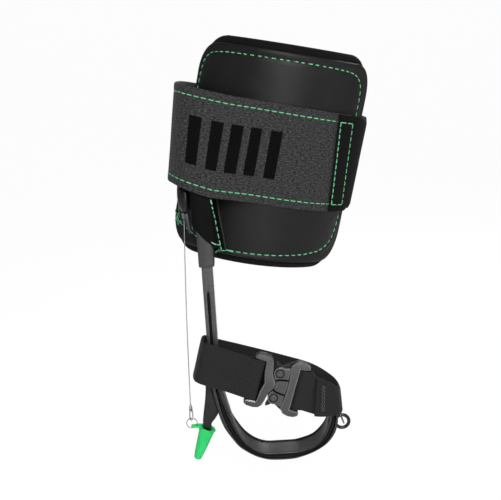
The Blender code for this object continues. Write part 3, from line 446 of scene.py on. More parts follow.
# painted shadow for the buckle's gaps and sunk recesses
BUCKLE_SHADOW = metal_coat("buckle_gap_shadow", 0.002, 0.003, 0.6, 0.0, 0.00002, 0.0, 0.1)
STEEL = bright_metal("bright_steel", (0.58, 0.58, 0.60), 0.27)
STEEL_DK = bright_metal("zinc_steel", (0.30, 0.30, 0.31), 0.34)
WIREM = bright_metal("wire_steel", (0.66, 0.66, 0.67), 0.35)
WEB = webbing("ankle_webbing", 0.0012, 0.072)
FELT = felt("loop_pile", 0.002, 0.185)
BANDM = webbing("edge_binding", 0.001, 0.006, 0.0013, 0.0011, 0.00012, 0.8, 0.02)
MARKM = felt("pressed_mark", 0.0015, 0.008, 0.0)
VINYL = vinyl("pad_vinyl", 0.010, 0.014)
PANELM = vinyl("panel_vinyl", 0.0025, 0.004, 0.6, spec=0.12)
FOAM = foam_cloth("foam_cloth", 0.003, 0.012)
LINING = foam_cloth("lining_cloth", 0.016, 0.080, 0.30)
PIPING = vinyl("edge_piping", 0.030, 0.042, 0.36)
THREAD = thread("green_thread", (0.25, 1.0, 0.48), (0.0, 0.10, 0.02))
THREAD_HI = thread("green_thread_heavy", (0.45, 1.0, 0.66), (0.01, 0.22, 0.05))
THREAD_BK = thread("black_thread", (0.085, 0.085, 0.08), (0.004, 0.004, 0.004))
GREEN = rubber("guard_rubber", (0.030, 0.93, 0.215), (0.055, 1.0, 0.29))
GLOSS = plastic("gloss_moulding", (0.010, 0.010, 0.010), 0.2)

# ===========================================================================
#  mesh helpers (millimetres in, metres out)
# ===========================================================================


def make(name, bm, mat, body=None, replaces=(), smooth=True, angle=38, weld=0.0):
    if weld:
        bmesh.ops.remove_doubles(bm, verts=bm.verts, dist=weld)
    bmesh.ops.recalc_face_normals(bm, faces=bm.faces)
    if bm.calc_volume(signed=True) < 0:
        bmesh.ops.reverse_faces(bm, faces=bm.faces)
    bmesh.ops.scale(bm, vec=(MM, MM, MM), verts=bm.verts)
    me = bpy.data.meshes.new(name)
    bm.to_mesh(me)
    bm.free()
    if smooth:
        me.shade_smooth()
        me.set_sharp_from_angle(angle=math.radians(angle))
    ob = bpy.data.objects.new(name, me)
    ob.data.materials.append(mat)
    ROOT.objects.link(ob)
    if body:
        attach(ob, body)
    if replaces:
        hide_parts(*replaces)
    return ob


def add_bevel(ob, width, seg=3, angle=32):
    m_ = ob.modifiers.new("edge", 'BEVEL')
    m_.width = width * MM
    m_.segments = seg
    m_.limit_method = 'ANGLE'
    m_.angle_limit = math.radians(angle)
    m_.harden_normals = False
    m_.use_clamp_overlap = True
    apply_mods(ob)
    ob.data.shade_smooth()
    ob.data.set_sharp_from_angle(angle=math.radians(50))


def apply_mods(ob):
    bpy.context.view_layer.update()
    dg = bpy.context.evaluated_depsgraph_get()
    me = bpy.data.meshes.new_from_object(ob.evaluated_get(dg), preserve_all_data_layers=True, depsgraph=dg)
    ob.modifiers.clear()
    old = ob.data
    ob.data = me
    me.name = ob.name
    bpy.data.meshes.remove(old)


def boolean(base, others, op):
    for other in others:
        md = base.modifiers.new("cut", 'BOOLEAN')
        md.operation = op
        md.solver = 'EXACT'
        md.object = other
        apply_mods(base)
        bpy.data.objects.remove(other, do_unlink=True)
    return base


def loft(rings, caps=True, closed=False, params=None):
    bm = bmesh.new()
    lay = bm.verts.layers.float_vector.new("weave") if params else None
    rows = []
    for i, ring in enumerate(rings):
        row = []
        for j, p in enumerate(ring):
            v = bm.verts.new(p)
            if lay:
                v[lay] = Vector(params[i][j])
            row.append(v)
        rows.append(row)
    n = len(rows[0])
    last = len(rows) if closed else len(rows) - 1
    for i in range(last):
        a, b = rows[i], rows[(i + 1) % len(rows)]
        for j in range(n):
            bm.faces.new((a[j], a[(j + 1) % n], b[(j + 1) % n], b[j]))
    if caps and not closed:
        bm.faces.new(rows[0])
        bm.faces.new(list(reversed(rows[-1])))
    return bm


def grid_shell(rows_o, rows_i):
    bm = bmesh.new()
    o = [[bm.verts.new(p) for p in r] for r in rows_o]
    i = [[bm.verts.new(p) for p in r] for r in rows_i]
    R, C = len(o), len(o[0])
    for r in range(R - 1):
        for c in range(C - 1):
            bm.faces.new((o[r][c], o[r][c + 1], o[r + 1][c + 1], o[r + 1][c]))
            bm.faces.new((i[r][c], i[r + 1][c], i[r + 1][c + 1], i[r][c + 1]))
    for c in range(C - 1):
        bm.faces.new((o[0][c], i[0][c], i[0][c + 1], o[0][c + 1]))
        bm.faces.new((o[-1][c], o[-1][c + 1], i[-1][c + 1], i[-1][c]))
    for r in range(R - 1):
        bm.faces.new((o[r][0], o[r + 1][0], i[r + 1][0], i[r][0]))
        bm.faces.new((o[r][-1], i[r][-1], i[r + 1][-1], o[r + 1][-1]))
    return bm


def smooth_path(points, per=3):
    out = []
    n = len(points)
    for k in range(n - 1):
        p0 = points[max(k - 1, 0)]
        p1, p2 = points[k], points[k + 1]
        p3 = points[min(k + 2, n - 1)]
        for s in range(per):
            t = s / per
            out.append(tuple(
                0.5 * ((2 * b) + (-a + c) * t + (2 * a - 5 * b + 4 * c - d) * t * t
                       + (-a + 3 * b - 3 * c + d) * t ** 3)
                for a, b, c, d in zip(p0, p1, p2, p3)))
    out.append(tuple(points[-1]))
    return out


def dense(points, per):
    """Catmull-Rom through 3-D points."""
    return [Vector(p) for p in smooth_path([tuple(p) for p in points], per)]


def prism(outline, to3d, lo, hi):
    bm = bmesh.new()
    a = [bm.verts.new(to3d(p, lo)) for p in outline]
    b = [bm.verts.new(to3d(p, hi)) for p in outline]
    n = len(outline)
    for j in range(n):
        bm.faces.new((a[j], a[(j + 1) % n], b[(j + 1) % n], b[j]))
    bm.faces.new(list(reversed(a)))
    bm.faces.new(b)
    return bm


def turned(profile, origin, axis, seg=64, hollow=False):
    axis = Vector(axis).normalized()
    q = Vector((0, 0, 1)).rotation_difference(axis)
    o = Vector(origin)
    bm = bmesh.new()
    rows = []
    for r, h in profile:
        if r < 1e-6:
            rows.append([bm.verts.new(o + q @ Vector((0, 0, h)))])
        else:
            rows.append([bm.verts.new(o + q @ Vector(
                (r * math.cos(2 * PI * k / seg), r * math.sin(2 * PI * k / seg), h)))
                for k in range(seg)])
    count = len(rows)
    last = count if hollow else count - 1
    for i in range(last):
        a, b = rows[i], rows[(i + 1) % count]
        if len(a) == 1 and len(b) == 1:
            continue
        for k in range(seg):
            k2 = (k + 1) % seg
            if len(a) == 1:
                bm.faces.new((a[0], b[k2], b[k]))
            elif len(b) == 1:
                bm.faces.new((a[k], a[k2], b[0]))
            else:
                bm.faces.new((a[k], a[k2], b[k2], b[k]))
    if not hollow:
        if len(rows[0]) > 1:
            bm.faces.new(rows[0])
        if len(rows[-1]) > 1:
            bm.faces.new(rows[-1])
    return bm


def torus(center, normal, major, minor, seg=64, sides=20):
    normal = Vector(normal).normalized()
    q = Vector((0, 0, 1)).rotation_difference(normal)
    rings = []
    for k in range(seg):
        a = 2 * PI * k / seg
        ring = []
        for j in range(sides):
            b = 2 * PI * j / sides
            r = major + minor * math.cos(b)
            ring.append(Vector(center) + q @ Vector((r * math.cos(a), r * math.sin(a), minor * math.sin(b))))
        rings.append(ring)
    return loft(rings, caps=False, closed=True)


def frames(pts, closed=False, ref=None):
    """Parallel-transported frames along a path."""
    pts = [Vector(p) for p in pts]
    n = len(pts)
    out = []
    for k, p in enumerate(pts):
        if closed:
            t = (pts[(k + 1) % n] - pts[k - 1]).normalized()
        else:
            t = (pts[min(k + 1, n - 1)] - pts[max(k - 1, 0)]).normalized()
        if ref is None:
            ref = Vector((0, 1, 0)) if abs(t.y) < 0.8 else Vector((1, 0, 0))
        u = (ref - t * ref.dot(t)).normalized()
        ref = u
        out.append((p, t, u, t.cross(u)))
    return out


def tube(points, radius, sides=14, closed=False, lobes=0, lay=8.0, depth=0.12):
    """Round wire or, with lobes, a stranded cord whose strands twist once per lay."""
    fr = frames(points, closed)
    rings, params = [], []
    run = 0.0
    prev = None
    for p, t, u, v in fr:
        if prev is not None:
            run += (p - prev).length
        prev = p
        tw = 2 * PI * run / lay if lobes else 0.0
        ring, par = [], []
        for j in range(sides):
            a = 2 * PI * j / sides
            r = radius * (1 - depth * (0.5 - 0.5 * math.cos(lobes * (a + tw)))) if lobes else radius
            ring.append(p + (u * math.cos(a) + v * math.sin(a)) * r)
            par.append((run * MM, j / sides, 0.0))
        rings.append(ring)
        params.append(par)
    return loft(rings, caps=not closed, closed=closed, params=params)


def strap(stations, thick, cols=18, per=3, disp=None, edge=None, end_round=True, keep=False):
    """Webbing with rounded edges: stations are (upper, lower) edge points along its run.
    disp(u, s, side) gives an extra lift along the normal, s across 0..1, side +1 outer."""
    A = dense([a for a, b in stations], per)
    B = dense([b for a, b in stations], per)
    mids = [(a + b) * 0.5 for a, b in zip(A, B)]
    run = [0.0]
    for p, q in zip(mids, mids[1:]):
        run.append(run[-1] + (q - p).length)
    edge = edge or thick * 0.5
    rings, params = [], []
    n = len(mids)
    for k in range(n):
        t = mids[min(k + 1, n - 1)] - mids[max(k - 1, 0)]
        w = A[k] - B[k]
        width = w.length
        nrm = t.cross(w).normalized()
        ef = 1.0
        if end_round:
            d_end = min(run[k], run[-1] - run[k])
            ef = math.sqrt(max(0.0, 1 - (1 - min(d_end / (thick * 0.5), 1.0)) ** 2)) if d_end < thick * 0.5 else 1.0
            ef = max(ef, 0.35)
        ss = []
        for c in range(cols + 1):
            x = c / cols
            ss.append(0.5 - 0.5 * math.cos(PI * x) if c not in (0, cols) else x)
        ring, par = [], []
        for side in (1, -1):
            seq = ss if side == 1 else list(reversed(ss))
            for s in seq:
                d = min(s, 1 - s) * width
                half = thick * 0.5 * ef
                if d < edge:
                    half *= math.sqrt(max(0.0, 1 - (1 - d / edge) ** 2))
                half = max(half, thick * 0.06)
                extra = disp(run[k], s, side) if disp else 0.0
                ring.append(A[k].lerp(B[k], s) + nrm * (side * half + extra))
                par.append((run[k] * MM, s * width * MM, side * 0.01))
        rings.append(ring)
        params.append(par)
    return loft(rings, params=params), run


def resample(pts, step):
    pts = [Vector(p) for p in pts]
    run = [0.0]
    for a, b in zip(pts, pts[1:]):
        run.append(run[-1] + (b - a).length)
    n = max(2, int(round(run[-1] / step)) + 1)
    out = []
    k = 0
    for i in range(n):
        d = run[-1] * i / (n - 1)
        while k < len(run) - 2 and run[k + 1] < d:
            k += 1
        f = (d - run[k]) / max(run[k + 1] - run[k], 1e-9)
        out.append(pts[k].lerp(pts[k + 1], min(max(f, 0.0), 1.0)))
    return out


def stitches(bm, path, normal, dash=5.6, gap=2.5, radius=0.8, sink=0.55, jitter=0.0, seed=0):
    """Sew thread dashes along path into bm. normal(p) is the surface's outward normal."""
    lay = bm.verts.layers.float_vector.get("weave") or bm.verts.layers.float_vector.new("weave")
    pts = resample(path, 0.8)
    run = [0.0]
    for a, b in zip(pts, pts[1:]):
        run.append(run[-1] + (b - a).length)

    def at(d):
        d = min(max(d, 0.0), run[-1])
        k = min(int(d / run[-1] * (len(pts) - 1)), len(pts) - 2)
        f = (d - run[k]) / max(run[k + 1] - run[k], 1e-9)
        return pts[k].lerp(pts[k + 1], f)

    count = max(1, int((run[-1] + gap) / (dash + gap)))
    pitch = (run[-1] + gap) / count
    rng = np.random.default_rng(seed + 7)
    sides, seg = 8, 9
    for i in range(count):
        d0 = i * pitch
        d1 = d0 + pitch - gap
        off = float(rng.uniform(-1, 1)) * jitter
        rows = []
        for k in range(seg + 1):
            f = k / seg
            p = at(d0 + (d1 - d0) * f)
            t = (at(d0 + (d1 - d0) * f + 0.3) - at(d0 + (d1 - d0) * f - 0.3)).normalized()
            nn = normal(p).normalized()
            s = t.cross(nn).normalized()
            lift = math.sin(PI * f) ** 0.5
            c = p + nn * (-sink + (sink + 0.28) * lift) + s * (off * (2 * f - 1))
            r = radius * (0.72 + 0.28 * lift)
            row = []
            for j in range(sides):
                a = 2 * PI * j / sides
                v = bm.verts.new(c + s * (r * math.cos(a)) + nn * (r * 0.8 * math.sin(a)))
                # the third value weights the thread's painted shade, heavier on its underside and at its sunk ends
                v[lay] = Vector(((d1 - d0) * f * MM, j / sides, max(0.0, 0.75 - lift) * 0.6
                                 + 0.5 * (1 - max(math.sin(a), 0.0)) ** 2))
                row.append(v)
            rows.append(row)
        for a_, b_ in zip(rows, rows[1:]):
            for j in range(sides):
                bm.faces.new((a_[j], a_[(j + 1) % sides], b_[(j + 1) % sides], b_[j]))
        bm.faces.new(rows[0])
        bm.faces.new(list(reversed(rows[-1])))
    return bm


def thread_mesh():
    bm = bmesh.new()
    bm.verts.layers.float_vector.new("weave")
    return bm

# ===========================================================================
#  the tether cord, taut from the reel's nozzle to the swivel
# ===========================================================================
W0 = Vector((-100.9, 18.0, 290.05))
W1 = Vector((-109.4, 0.0, 64.5))
WIRE_D = 1.2


def wire_pt(t):
    p = W0.lerp(W1, t)
    p.x -= 0.9 * math.sin(PI * t)
    return p


wires = {}
for tag, t0, t1, a_body, b_body in (("upper", 0.0, 0.5, "upper", "lower_frame"),
                                    ("lower", 0.5, 1.0, "lower_frame", "guard")):
    pts = [wire_pt(t0 + (t1 - t0) * k / 240) for k in range(241)]
    ob = make("tether_wire_" + tag, tube(pts, WIRE_D / 2, 18, lobes=6, lay=7.0, depth=0.16), WIREM, angle=80)
    if tag == "upper":
        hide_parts("tether_wire")
    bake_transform(ob)
    wires[tag] = (ob, pts)

# ===========================================================================
#  leg iron
# ===========================================================================
SHANK_X, SHANK_T, SHANK_D = -77.0, 12.6, 10.0
FOOT_D = 19.0
inner = [(-70.7, 330), (-70.7, 300), (-70.7, 262), (-70.7, 232), (-70.7, 222), (-70.7, 218),
         (-70.7, 190), (-70.7, 150), (-70.7, 122), (-70.7, 106), (-69.9, 94), (-68.2, 82), (-65.7, 69),
         (-63.0, 56), (-59.8, 42.5), (-54.8, 29.5), (-47.6, 17.8), (-39.4, 9.2),
         (-30.5, 3.6), (-21.5, 0.7), (-14.0, 0.0), (0.0, 0.0), (14.0, 0.0), (21.5, 0.7), (30.5, 3.3),
         (40.0, 7.6), (48.0, 15.0), (54.4, 24.8), (58.2, 36.0), (60.0, 47.0), (60.8, 58.0),
         (61.3, 70.0)]
outer = [(-83.3, 330), (-83.3, 300), (-83.3, 262), (-83.3, 232), (-83.3, 222), (-83.3, 218),
         (-83.3, 190), (-83.3, 150), (-83.3, 126), (-83.3, 110), (-82.7, 97), (-80.9, 84), (-78.0, 69),
         (-74.4, 52), (-69.3, 38), (-61.8, 25.6), (-53.0, 13.4), (-42.2, 4.8),
         (-31.9, -1.3), (-21.2, -5.1), (-12.6, -6.5), (0.0, -7.0), (12.6, -6.5), (22.0, -4.5), (34.0, -0.6),
         (45.6, 5.2), (55.4, 12.8), (63.0, 22.6), (67.0, 33.5), (68.3, 45.0), (68.6, 57.0),
         (68.4, 70.0)]
path = smooth_path([(a[0], a[1], b[0], b[1]) for a, b in zip(inner, outer)], 6)


def fillet(cx, cy, r, a0, a1, n):
    return [(cx + r * math.cos(a0 + (a1 - a0) * k / n), cy + r * math.sin(a0 + (a1 - a0) * k / n))
            for k in range(n + 1)]


def iron_section(h, d, g, gd, off=0.0, lip=0.0, dish=0.0, c=1.5):
    """Bar section as (a, y) pairs: a channel in both edge faces, a lip that stands up along the
    inner front edge and a slightly dished tread."""
    def channel(sy_):
        base = [(-g - 0.6, 0.0), (-g - 0.15, gd * 0.06), (-g * 0.93, gd * 0.35), (-g * 0.80, gd * 0.84),
                (-g * 0.55, gd), (0.0, gd), (g * 0.55, gd), (g * 0.80, gd * 0.84), (g * 0.93, gd * 0.35),
                (g + 0.15, gd * 0.06), (g + 0.6, 0.0)]
        seq = base if sy_ < 0 else list(reversed(base))
        return [(off + a_, sy_ * (d - q)) for a_, q in seq]
    pts = []
    pts += fillet(-h + c, -d + c, c, PI, 1.5 * PI, 4)                 # outer front corner
    pts += channel(-1)
    cl = min(c, 0.9 + 0.3 * (1 - min(lip, 1.0)))
    pts += fillet(h + lip - cl, -d + cl, cl, 1.5 * PI, 2 * PI, 4)      # inner front corner, on the lip
    for k in range(1, 8):
        y = -d + cl + (2 * d - cl - c) * k / 8
        fall = max(0.0, 1 - (y + d - cl) / 3.4)
        q = 1 - (y / (d - c)) ** 2
        pts.append((h + lip * fall * fall * (3 - 2 * fall) - dish * max(q, 0.0), y))
    pts += fillet(h - c, d - c, c, 0, 0.5 * PI, 4)
    pts += channel(1)
    pts += fillet(-h + c, d - c, c, 0.5 * PI, PI, 4)
    pts += [(-h, d - c - (2 * d - 2 * c) * k / 6) for k in range(1, 6)]
    return pts


rings, depth_of = [], []
for k, (xi, zi, xo, zo) in enumerate(path):
    zc = (zi + zo) * 0.5
    if xi < 0:
        f = min(max((112.0 - zc) / 100.0, 0.0), 1.0)
        d = SHANK_D + (FOOT_D - SHANK_D) * (f * f * (3 - 2 * f))
        on = min(max((213.0 - zc) / 14.0, 0.0), 1.0)
        low = min(max((96.0 - zc) / 60.0, 0.0), 1.0)
    else:
        f = min(max((zc - 8.0) / 62.0, 0.0), 1.0)
        d = FOOT_D - 8.0 * (f * f * (3 - 2 * f))
        on = min(max((66.0 - zc) / 8.0, 0.0), 1.0)
        low = min(max((64.0 - zc) / 40.0, 0.0), 1.0)
    on = on * on * (3 - 2 * on)
    low = low * low * (3 - 2 * low)
    mid = Vector(((xi + xo) / 2, 0, zc))
    nv = Vector((xi - xo, 0, zi - zo))
    T = nv.length
    nv.normalize()
    lip = 2.9 * low
    g = (1.55 * (1 - low) + min(2.9, 0.27 * (T + lip)) * low) * (0.3 + 0.7 * on)
    gd = 0.05 + (3.4 * (1 - low) + 2.6 * low) * on
    off = -0.5 * (1 - low) + (lip * 0.5 + 0.2) * low
    rings.append([mid + nv * a + Vector((0, y, 0))
                  for a, y in iron_section(T / 2, d, g, gd, off, lip, 0.5 * low)])
    depth_of.append((d, gd))
iron = make("leg_iron_forging", loft(rings), IRON, angle=40)
iron.data.materials.append(GROOVE_SHADE)
iron.data.materials.append(TREAD_LIGHT)
iron.data.materials.append(EDGE_HIGHLIGHT)
nring = len(rings[0])
# painted shade on the channel floors, painted light on the tread, and a painted highlight on the lip's corner and the
# channel's outer rim
sect = {}
for i_r, ring in enumerate(rings):
    for j_r, p_ in enumerate(ring):
        sect[(round(p_.x, 3), round(p_.y, 3), round(p_.z, 3))] = (i_r, j_r)
for f in iron.data.polygons:
    js = []
    for vi in f.vertices:
        co = iron.data.vertices[vi].co / MM
        key = (round(co.x, 3), round(co.y, 3), round(co.z, 3))
        if key in sect:
            js.append(sect[key])
    if len(js) == 4:
        jr = sorted(j_ for _, j_ in js)
        ir = js[0][0]
        first, second = 5, 5 + 11 + 5 + 7 + 5
        if (first + 1 <= jr[0] and jr[-1] <= first + 9) or (second + 1 <= jr[0] and jr[-1] <= second + 9):
            if depth_of[ir][1] > 0.7:
                f.material_index = 1
        elif first + 11 + 4 <= jr[0] and jr[-1] <= first + 11 + 5 + 7:
            zz = f.center.z / MM
            if zz < 120:
                f.material_index = 2
        # painted highlight on the lip's corner and the channel's outer rim, low on the iron
        zz = f.center.z / MM
        if zz < 112 and f.material_index != 2 and (
                (first + 11 <= jr[0] and jr[-1] <= first + 11 + 3) or (jr[0] == first and jr[-1] == first + 1)):
            f.material_index = 3
eye = make("eye_tool", torus((74.0, 0.0, 30.4), (0, 1, 0), 8.3, 2.1), IRON)
boolean(iron, [eye], 'UNION')
iron.data.shade_smooth()
iron.data.set_sharp_from_angle(angle=math.radians(40))
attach(iron, "lower_frame")
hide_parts("shank_stirrup")

# a rivet head on the outer arm's inner face
bm = turned([(0, -0.5), (3.4, -0.5), (3.4, 0.15), (2.9, 0.35), (0, 0.35)], (57.0, 0, 33.5), (-0.94, 0, 0.33), 40)
dot = make("arm_rivet", bm, GAFFM, "lower_frame")

# ===========================================================================
#  gaff and its screws
# ===========================================================================
GUARD_TOP, GUARD_TIP = (-90.6, 33.0), (-106.2, -7.4)
GAFF_D = 5.5
ax = Vector((GUARD_TIP[0] - GUARD_TOP[0], 0, GUARD_TIP[1] - GUARD_TOP[1])).normalized()
pn = Vector((ax.z, 0, -ax.x))
if pn.x > 0:
    pn = -pn
blade = [(-88.8, 132.0, -83.7, 132.0, 4.2, 1.5), (-89.6, 126.0, -83.7, 126.0, GAFF_D, 1.5),
         (-90.2, 110.0, -83.7, 110.0, GAFF_D, 1.5), (-90.0, 98.0, -83.15, 97.0, GAFF_D, 1.5),
         (-89.2, 88.0, -81.9, 86.5, GAFF_D, 1.6), (-90.2, 77.0, -80.2, 76.0, GAFF_D, 1.7),
         (-92.0, 65.0, -77.8, 65.5, GAFF_D, 1.8), (-93.8, 55.0, -75.6, 54.5, GAFF_D, 1.8),
         (-94.8, 49.0, -79.6, 46.6, GAFF_D, 1.8), (-95.6, 42.5, -85.0, 39.6, GAFF_D, 1.8)]
spike0 = Vector((GUARD_TOP[0] - 0.2, 0, GUARD_TOP[1]))
for dist, hw, hd in ((0.0, 4.9, 5.1), (9.0, 4.3, 4.5), (18.0, 3.4, 3.5), (26.0, 2.4, 2.4),
                     (32.0, 1.3, 1.3), (35.0, 0.4, 0.4)):
    p = spike0 + ax * dist
    a, b = p + pn * hw, p - pn * hw
    blade.append((a.x, a.z, b.x, b.z, hd, hw * 0.5))
rings = []
for lx, lz, rx, rz, d, c in smooth_path(blade, 5):
    a, b = Vector((lx, 0, lz)), Vector((rx, 0, rz))
    mrk = (b - a).normalized()
    W = (b - a).length
    c = min(c, W * 0.45, d * 0.9)
    ring = []
    for cx, cy, a0 in ((c, -d + c, PI), (W - c, -d + c, 1.5 * PI), (W - c, d - c, 0.0), (c, d - c, 0.5 * PI)):
        for k in range(5):
            an = a0 + 0.5 * PI * k / 4
            ring.append(a + mrk * (cx + c * math.cos(an)) + Vector((0, cy + c * math.sin(an), 0)))
    rings.append(ring)
make("tree_gaff", loft(rings), GAFFM, "lower_frame", ("gaff",))


def screw(name, head, axis, head_r, head_h, shaft_r, shaft_l, body, node):
    """Button head with a hexagon socket, domed and bevelled."""
    axis = Vector(axis).normalized()
    prof = [(0, -head_h), (head_r * 0.5, -head_h), (head_r * 0.72, -head_h * 0.93), (head_r * 0.9, -head_h * 0.66),
            (head_r * 0.985, -head_h * 0.3), (head_r, -0.12), (head_r * 0.985, 0.0), (shaft_r, 0.0),
            (shaft_r, shaft_l - 0.3), (shaft_r - 0.3, shaft_l), (0, shaft_l)]
    ob = make(name, turned(prof, head, axis, 48), STEEL_DK, angle=40)
    hexr = head_r * 0.5
    tool = make("hex_tool", turned([(0, -head_h - 1), (hexr, -head_h - 1), (hexr, -head_h * 0.35), (0, -head_h * 0.2)],
                                   head, axis, 6), STEEL_DK, smooth=False)
    boolean(ob, [tool], 'DIFFERENCE')
    ob.data.shade_smooth()
    ob.data.set_sharp_from_angle(angle=math.radians(35))
    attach(ob, body)
    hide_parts(node)
    return ob


for tag, z in (("lower", 103.0), ("upper", 121.0)):
    screw("gaff_bolt_" + tag, (-90.55, 0, z), (1, 0, 0), 4.3, 2.3, 2.5, 16.5, "lower_frame", "gaff_screw_" + tag)

# ===========================================================================
#  guard, split ring, swivel
# ===========================================================================
G0 = Vector((GUARD_TOP[0], 0, GUARD_TOP[1]))
G_LEN = (Vector((GUARD_TIP[0], 0, GUARD_TIP[1])) - G0).length
prof = [(8.0, 0.25), (8.25, 0.0), (9.6, 0.0), (10.2, 0.2), (10.5, 0.7), (10.5, 1.7), (10.2, 2.25), (9.7, 2.55),
        (9.45, 2.9), (9.3, 4.2), (8.9, 8.0), (7.9, 17.5), (6.9, 26.0), (5.9, 34.0), (4.9, G_LEN - 3.2),
        (4.5, G_LEN - 1.6), (3.6, G_LEN - 0.55), (2.2, G_LEN - 0.1), (0, G_LEN),
        (0, 37.3), (1.5, 37.0), (3.4, 28.0), (5.2, 18.0), (6.9, 6.0)]
guard = make("guard_moulding", turned(prof, G0, ax, 72, hollow=True), GREEN)
ear = make("ear_tool", prism([(-110.4, -2.0), (-110.0, -2.9), (-109.0, -3.5), (-99.3, -4.6), (-99.3, 4.6),
                              (-109.0, 3.5), (-110.0, 2.9), (-110.4, 2.0)], lambda p, z: (p[0], p[1], z), 35.0, 36.8),
           GREEN)
post = make("post_tool", prism([(-101.6, -3.4), (-98.2, -3.4), (-98.2, 3.4), (-101.6, 3.4)],
                               lambda p, z: (p[0], p[1], z), 32.2, 36.8), GREEN)
boolean(ear, [post], 'UNION')
boolean(guard, [ear], 'UNION')
slot_t = make("slot_tool", prism([(-106.9, -1.2), (-106.6, -1.5), (-102.8, -1.5), (-102.5, -1.2), (-102.5, 1.2),
                                  (-102.8, 1.5), (-106.6, 1.5), (-106.9, 1.2)], lambda p, z: (p[0], p[1], z),
                                 30.0, 40.0), GREEN)
boolean(guard, [slot_t], 'DIFFERENCE')
bore = make("bore_tool", turned([(0, -6), (8.0, -6), (8.0, 0.0), (6.9, 6.0), (5.2, 18.0), (3.4, 28.0),
                                 (1.5, 37.0), (0, 37.3)], G0, ax, 72), GREEN)
boolean(guard, [bore], 'DIFFERENCE')
add_bevel(guard, 0.3, 2, 40)
guard.data.set_sharp_from_angle(angle=math.radians(45))
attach(guard, "guard")
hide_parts("gaff_guard")

RING_C = Vector((-109.4, 0.0, 39.9))
pts = []
for k in range(181):
    a = 2 * PI * 1.9 * k / 180 + 0.6
    y = -0.42 + 0.84 * k / 180
    pts.append(RING_C + Vector((6.4 * math.cos(a), y, 6.4 * math.sin(a))))
key_ring = make("key_ring", tube(pts, 0.48, 10), STEEL, "ring", ("split_ring",))

LA = math.radians(58)
pts = []
for k in range(72):
    a = 2 * PI * k / 72
    ca, sa = math.cos(a), math.sin(a)
    w = 3.1 * math.copysign(abs(ca) ** 0.8, ca)
    z = 50.0 + 6.0 * math.copysign(abs(sa) ** 0.9, sa)
    pts.append(Vector((RING_C.x + w * math.cos(LA), w * math.sin(LA), z)))
loop = make("swivel_eye", tube(pts, 0.7, 12, closed=True), STEEL)
col = make("collar_tool", turned([(0, 55.4), (1.7, 55.4), (2.1, 55.7), (2.2, 56.2), (2.2, 57.0), (2.0, 57.4), (0, 57.4)],
                                 (RING_C.x, 0, 0), (0, 0, 1), 32), STEEL)
boolean(loop, [col], 'UNION')
loop.data.shade_smooth()
loop.data.set_sharp_from_angle(angle=math.radians(40))
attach(loop, "guard")
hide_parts("swivel_loop")
B0 = 57.75
barrel_prof = [(0, B0), (1.5, B0), (1.9, B0 + 0.2), (2.1, B0 + 0.6), (2.1, B0 + 2.3), (1.95, B0 + 2.8), (1.5, B0 + 3.5),
               (1.25, B0 + 4.1), (1.25, B0 + 4.5), (1.05, B0 + 4.7), (1.05, B0 + 5.2), (1.25, B0 + 5.4), (1.2, B0 + 6.1),
               (1.0, B0 + 6.4), (0, B0 + 6.4)]
swivel_body = make("swivel_body", turned(barrel_prof, (RING_C.x, 0, 0), (0, 0, 1), 32), STEEL, "barrel",
                   ("swivel_barrel",))
for tag, on_it in (("upper", []), ("lower", [swivel_body, loop, key_ring])):
    ob, pts = wires[tag]

# ===========================================================================
#  sleeve and its screws
# ===========================================================================
GAP, WALL = 0.35, 2.4
bx, by = SHANK_T / 2 + GAP, SHANK_D + GAP
sx, sy = bx + WALL, by + WALL


def rr_ring(hx, hy, z, c, n=5):
    out = []
    for cx, cy, a0 in ((-hx + c, -hy + c, PI), (hx - c, -hy + c, 1.5 * PI), (hx - c, hy - c, 0.0),
                       (-hx + c, hy - c, 0.5 * PI)):
        for k in range(n + 1):
            a = a0 + 0.5 * PI * k / n
            out.append(Vector((SHANK_X + cx + c * math.cos(a), cy + c * math.sin(a), z)))
    return out


Z0, Z1 = 237.0, 380.0
rings = [rr_ring(bx + 0.3, by + 0.3, Z0, 1.0), rr_ring(sx - 0.9, sy - 0.9, Z0, 2.2),
         rr_ring(sx - 0.25, sy - 0.25, Z0 + 0.3, 2.6), rr_ring(sx, sy, Z0 + 1.0, 2.8),
         rr_ring(sx, sy, Z0 + 3.0, 2.8)]
for k in range(1, 12):
    rings.append(rr_ring(sx, sy, Z0 + 3.0 + (Z1 - Z0 - 5.0) * k / 12, 2.8))
rings += [rr_ring(sx, sy, Z1 - 1.0, 2.8), rr_ring(sx - 0.3, sy - 0.3, Z1 - 0.2, 2.6), rr_ring(sx - 0.8, sy - 0.8, Z1, 2.2),
          rr_ring(bx + 0.3, by + 0.3, Z1, 1.0), rr_ring(bx, by, Z1 - 0.5, 0.8), rr_ring(bx, by, Z0 + 0.5, 0.8)]
make("sleeve_tube", loft(rings, closed=True), SLEEVEM, "upper", ("leg_sleeve",))
for tag, z in (("lower", 300.0), ("upper", 352.0)):
    screw("clamp_bolt_" + tag, (SHANK_X - sx - 0.35, 0, z), (1, 0, 0), 4.0, 2.0, 2.0, 2.4, "upper",
          "sleeve_screw_" + tag)

# ===========================================================================
#  pad surfaces
# ===========================================================================
PAD_TILT = math.radians(13.5)
PC = Vector((6.1, 117.2, 358.4))
PAD_R, PAD_ARC, PAD_H, PAD_CORNER, INSET = 113.0, 135.0, 125.0, 42.0, 7.0
U = Vector((math.sin(PAD_TILT), 0, math.cos(PAD_TILT)))
Rv = Vector((math.cos(PAD_TILT), 0, -math.sin(PAD_TILT)))


def pad_point(arc, h, rho):
    a = arc / PAD_R
    left = (1 - arc / PAD_ARC) / 2
    v = (h / PAD_H + 1) / 2
    h = h + v * (2.0 - 5.0 * left) + (1 - v) * (-0.5 - 8.0 * left)
    return PC + U * h + Rv * (rho * math.sin(a)) + Vector((0, -rho * math.cos(a), 0))


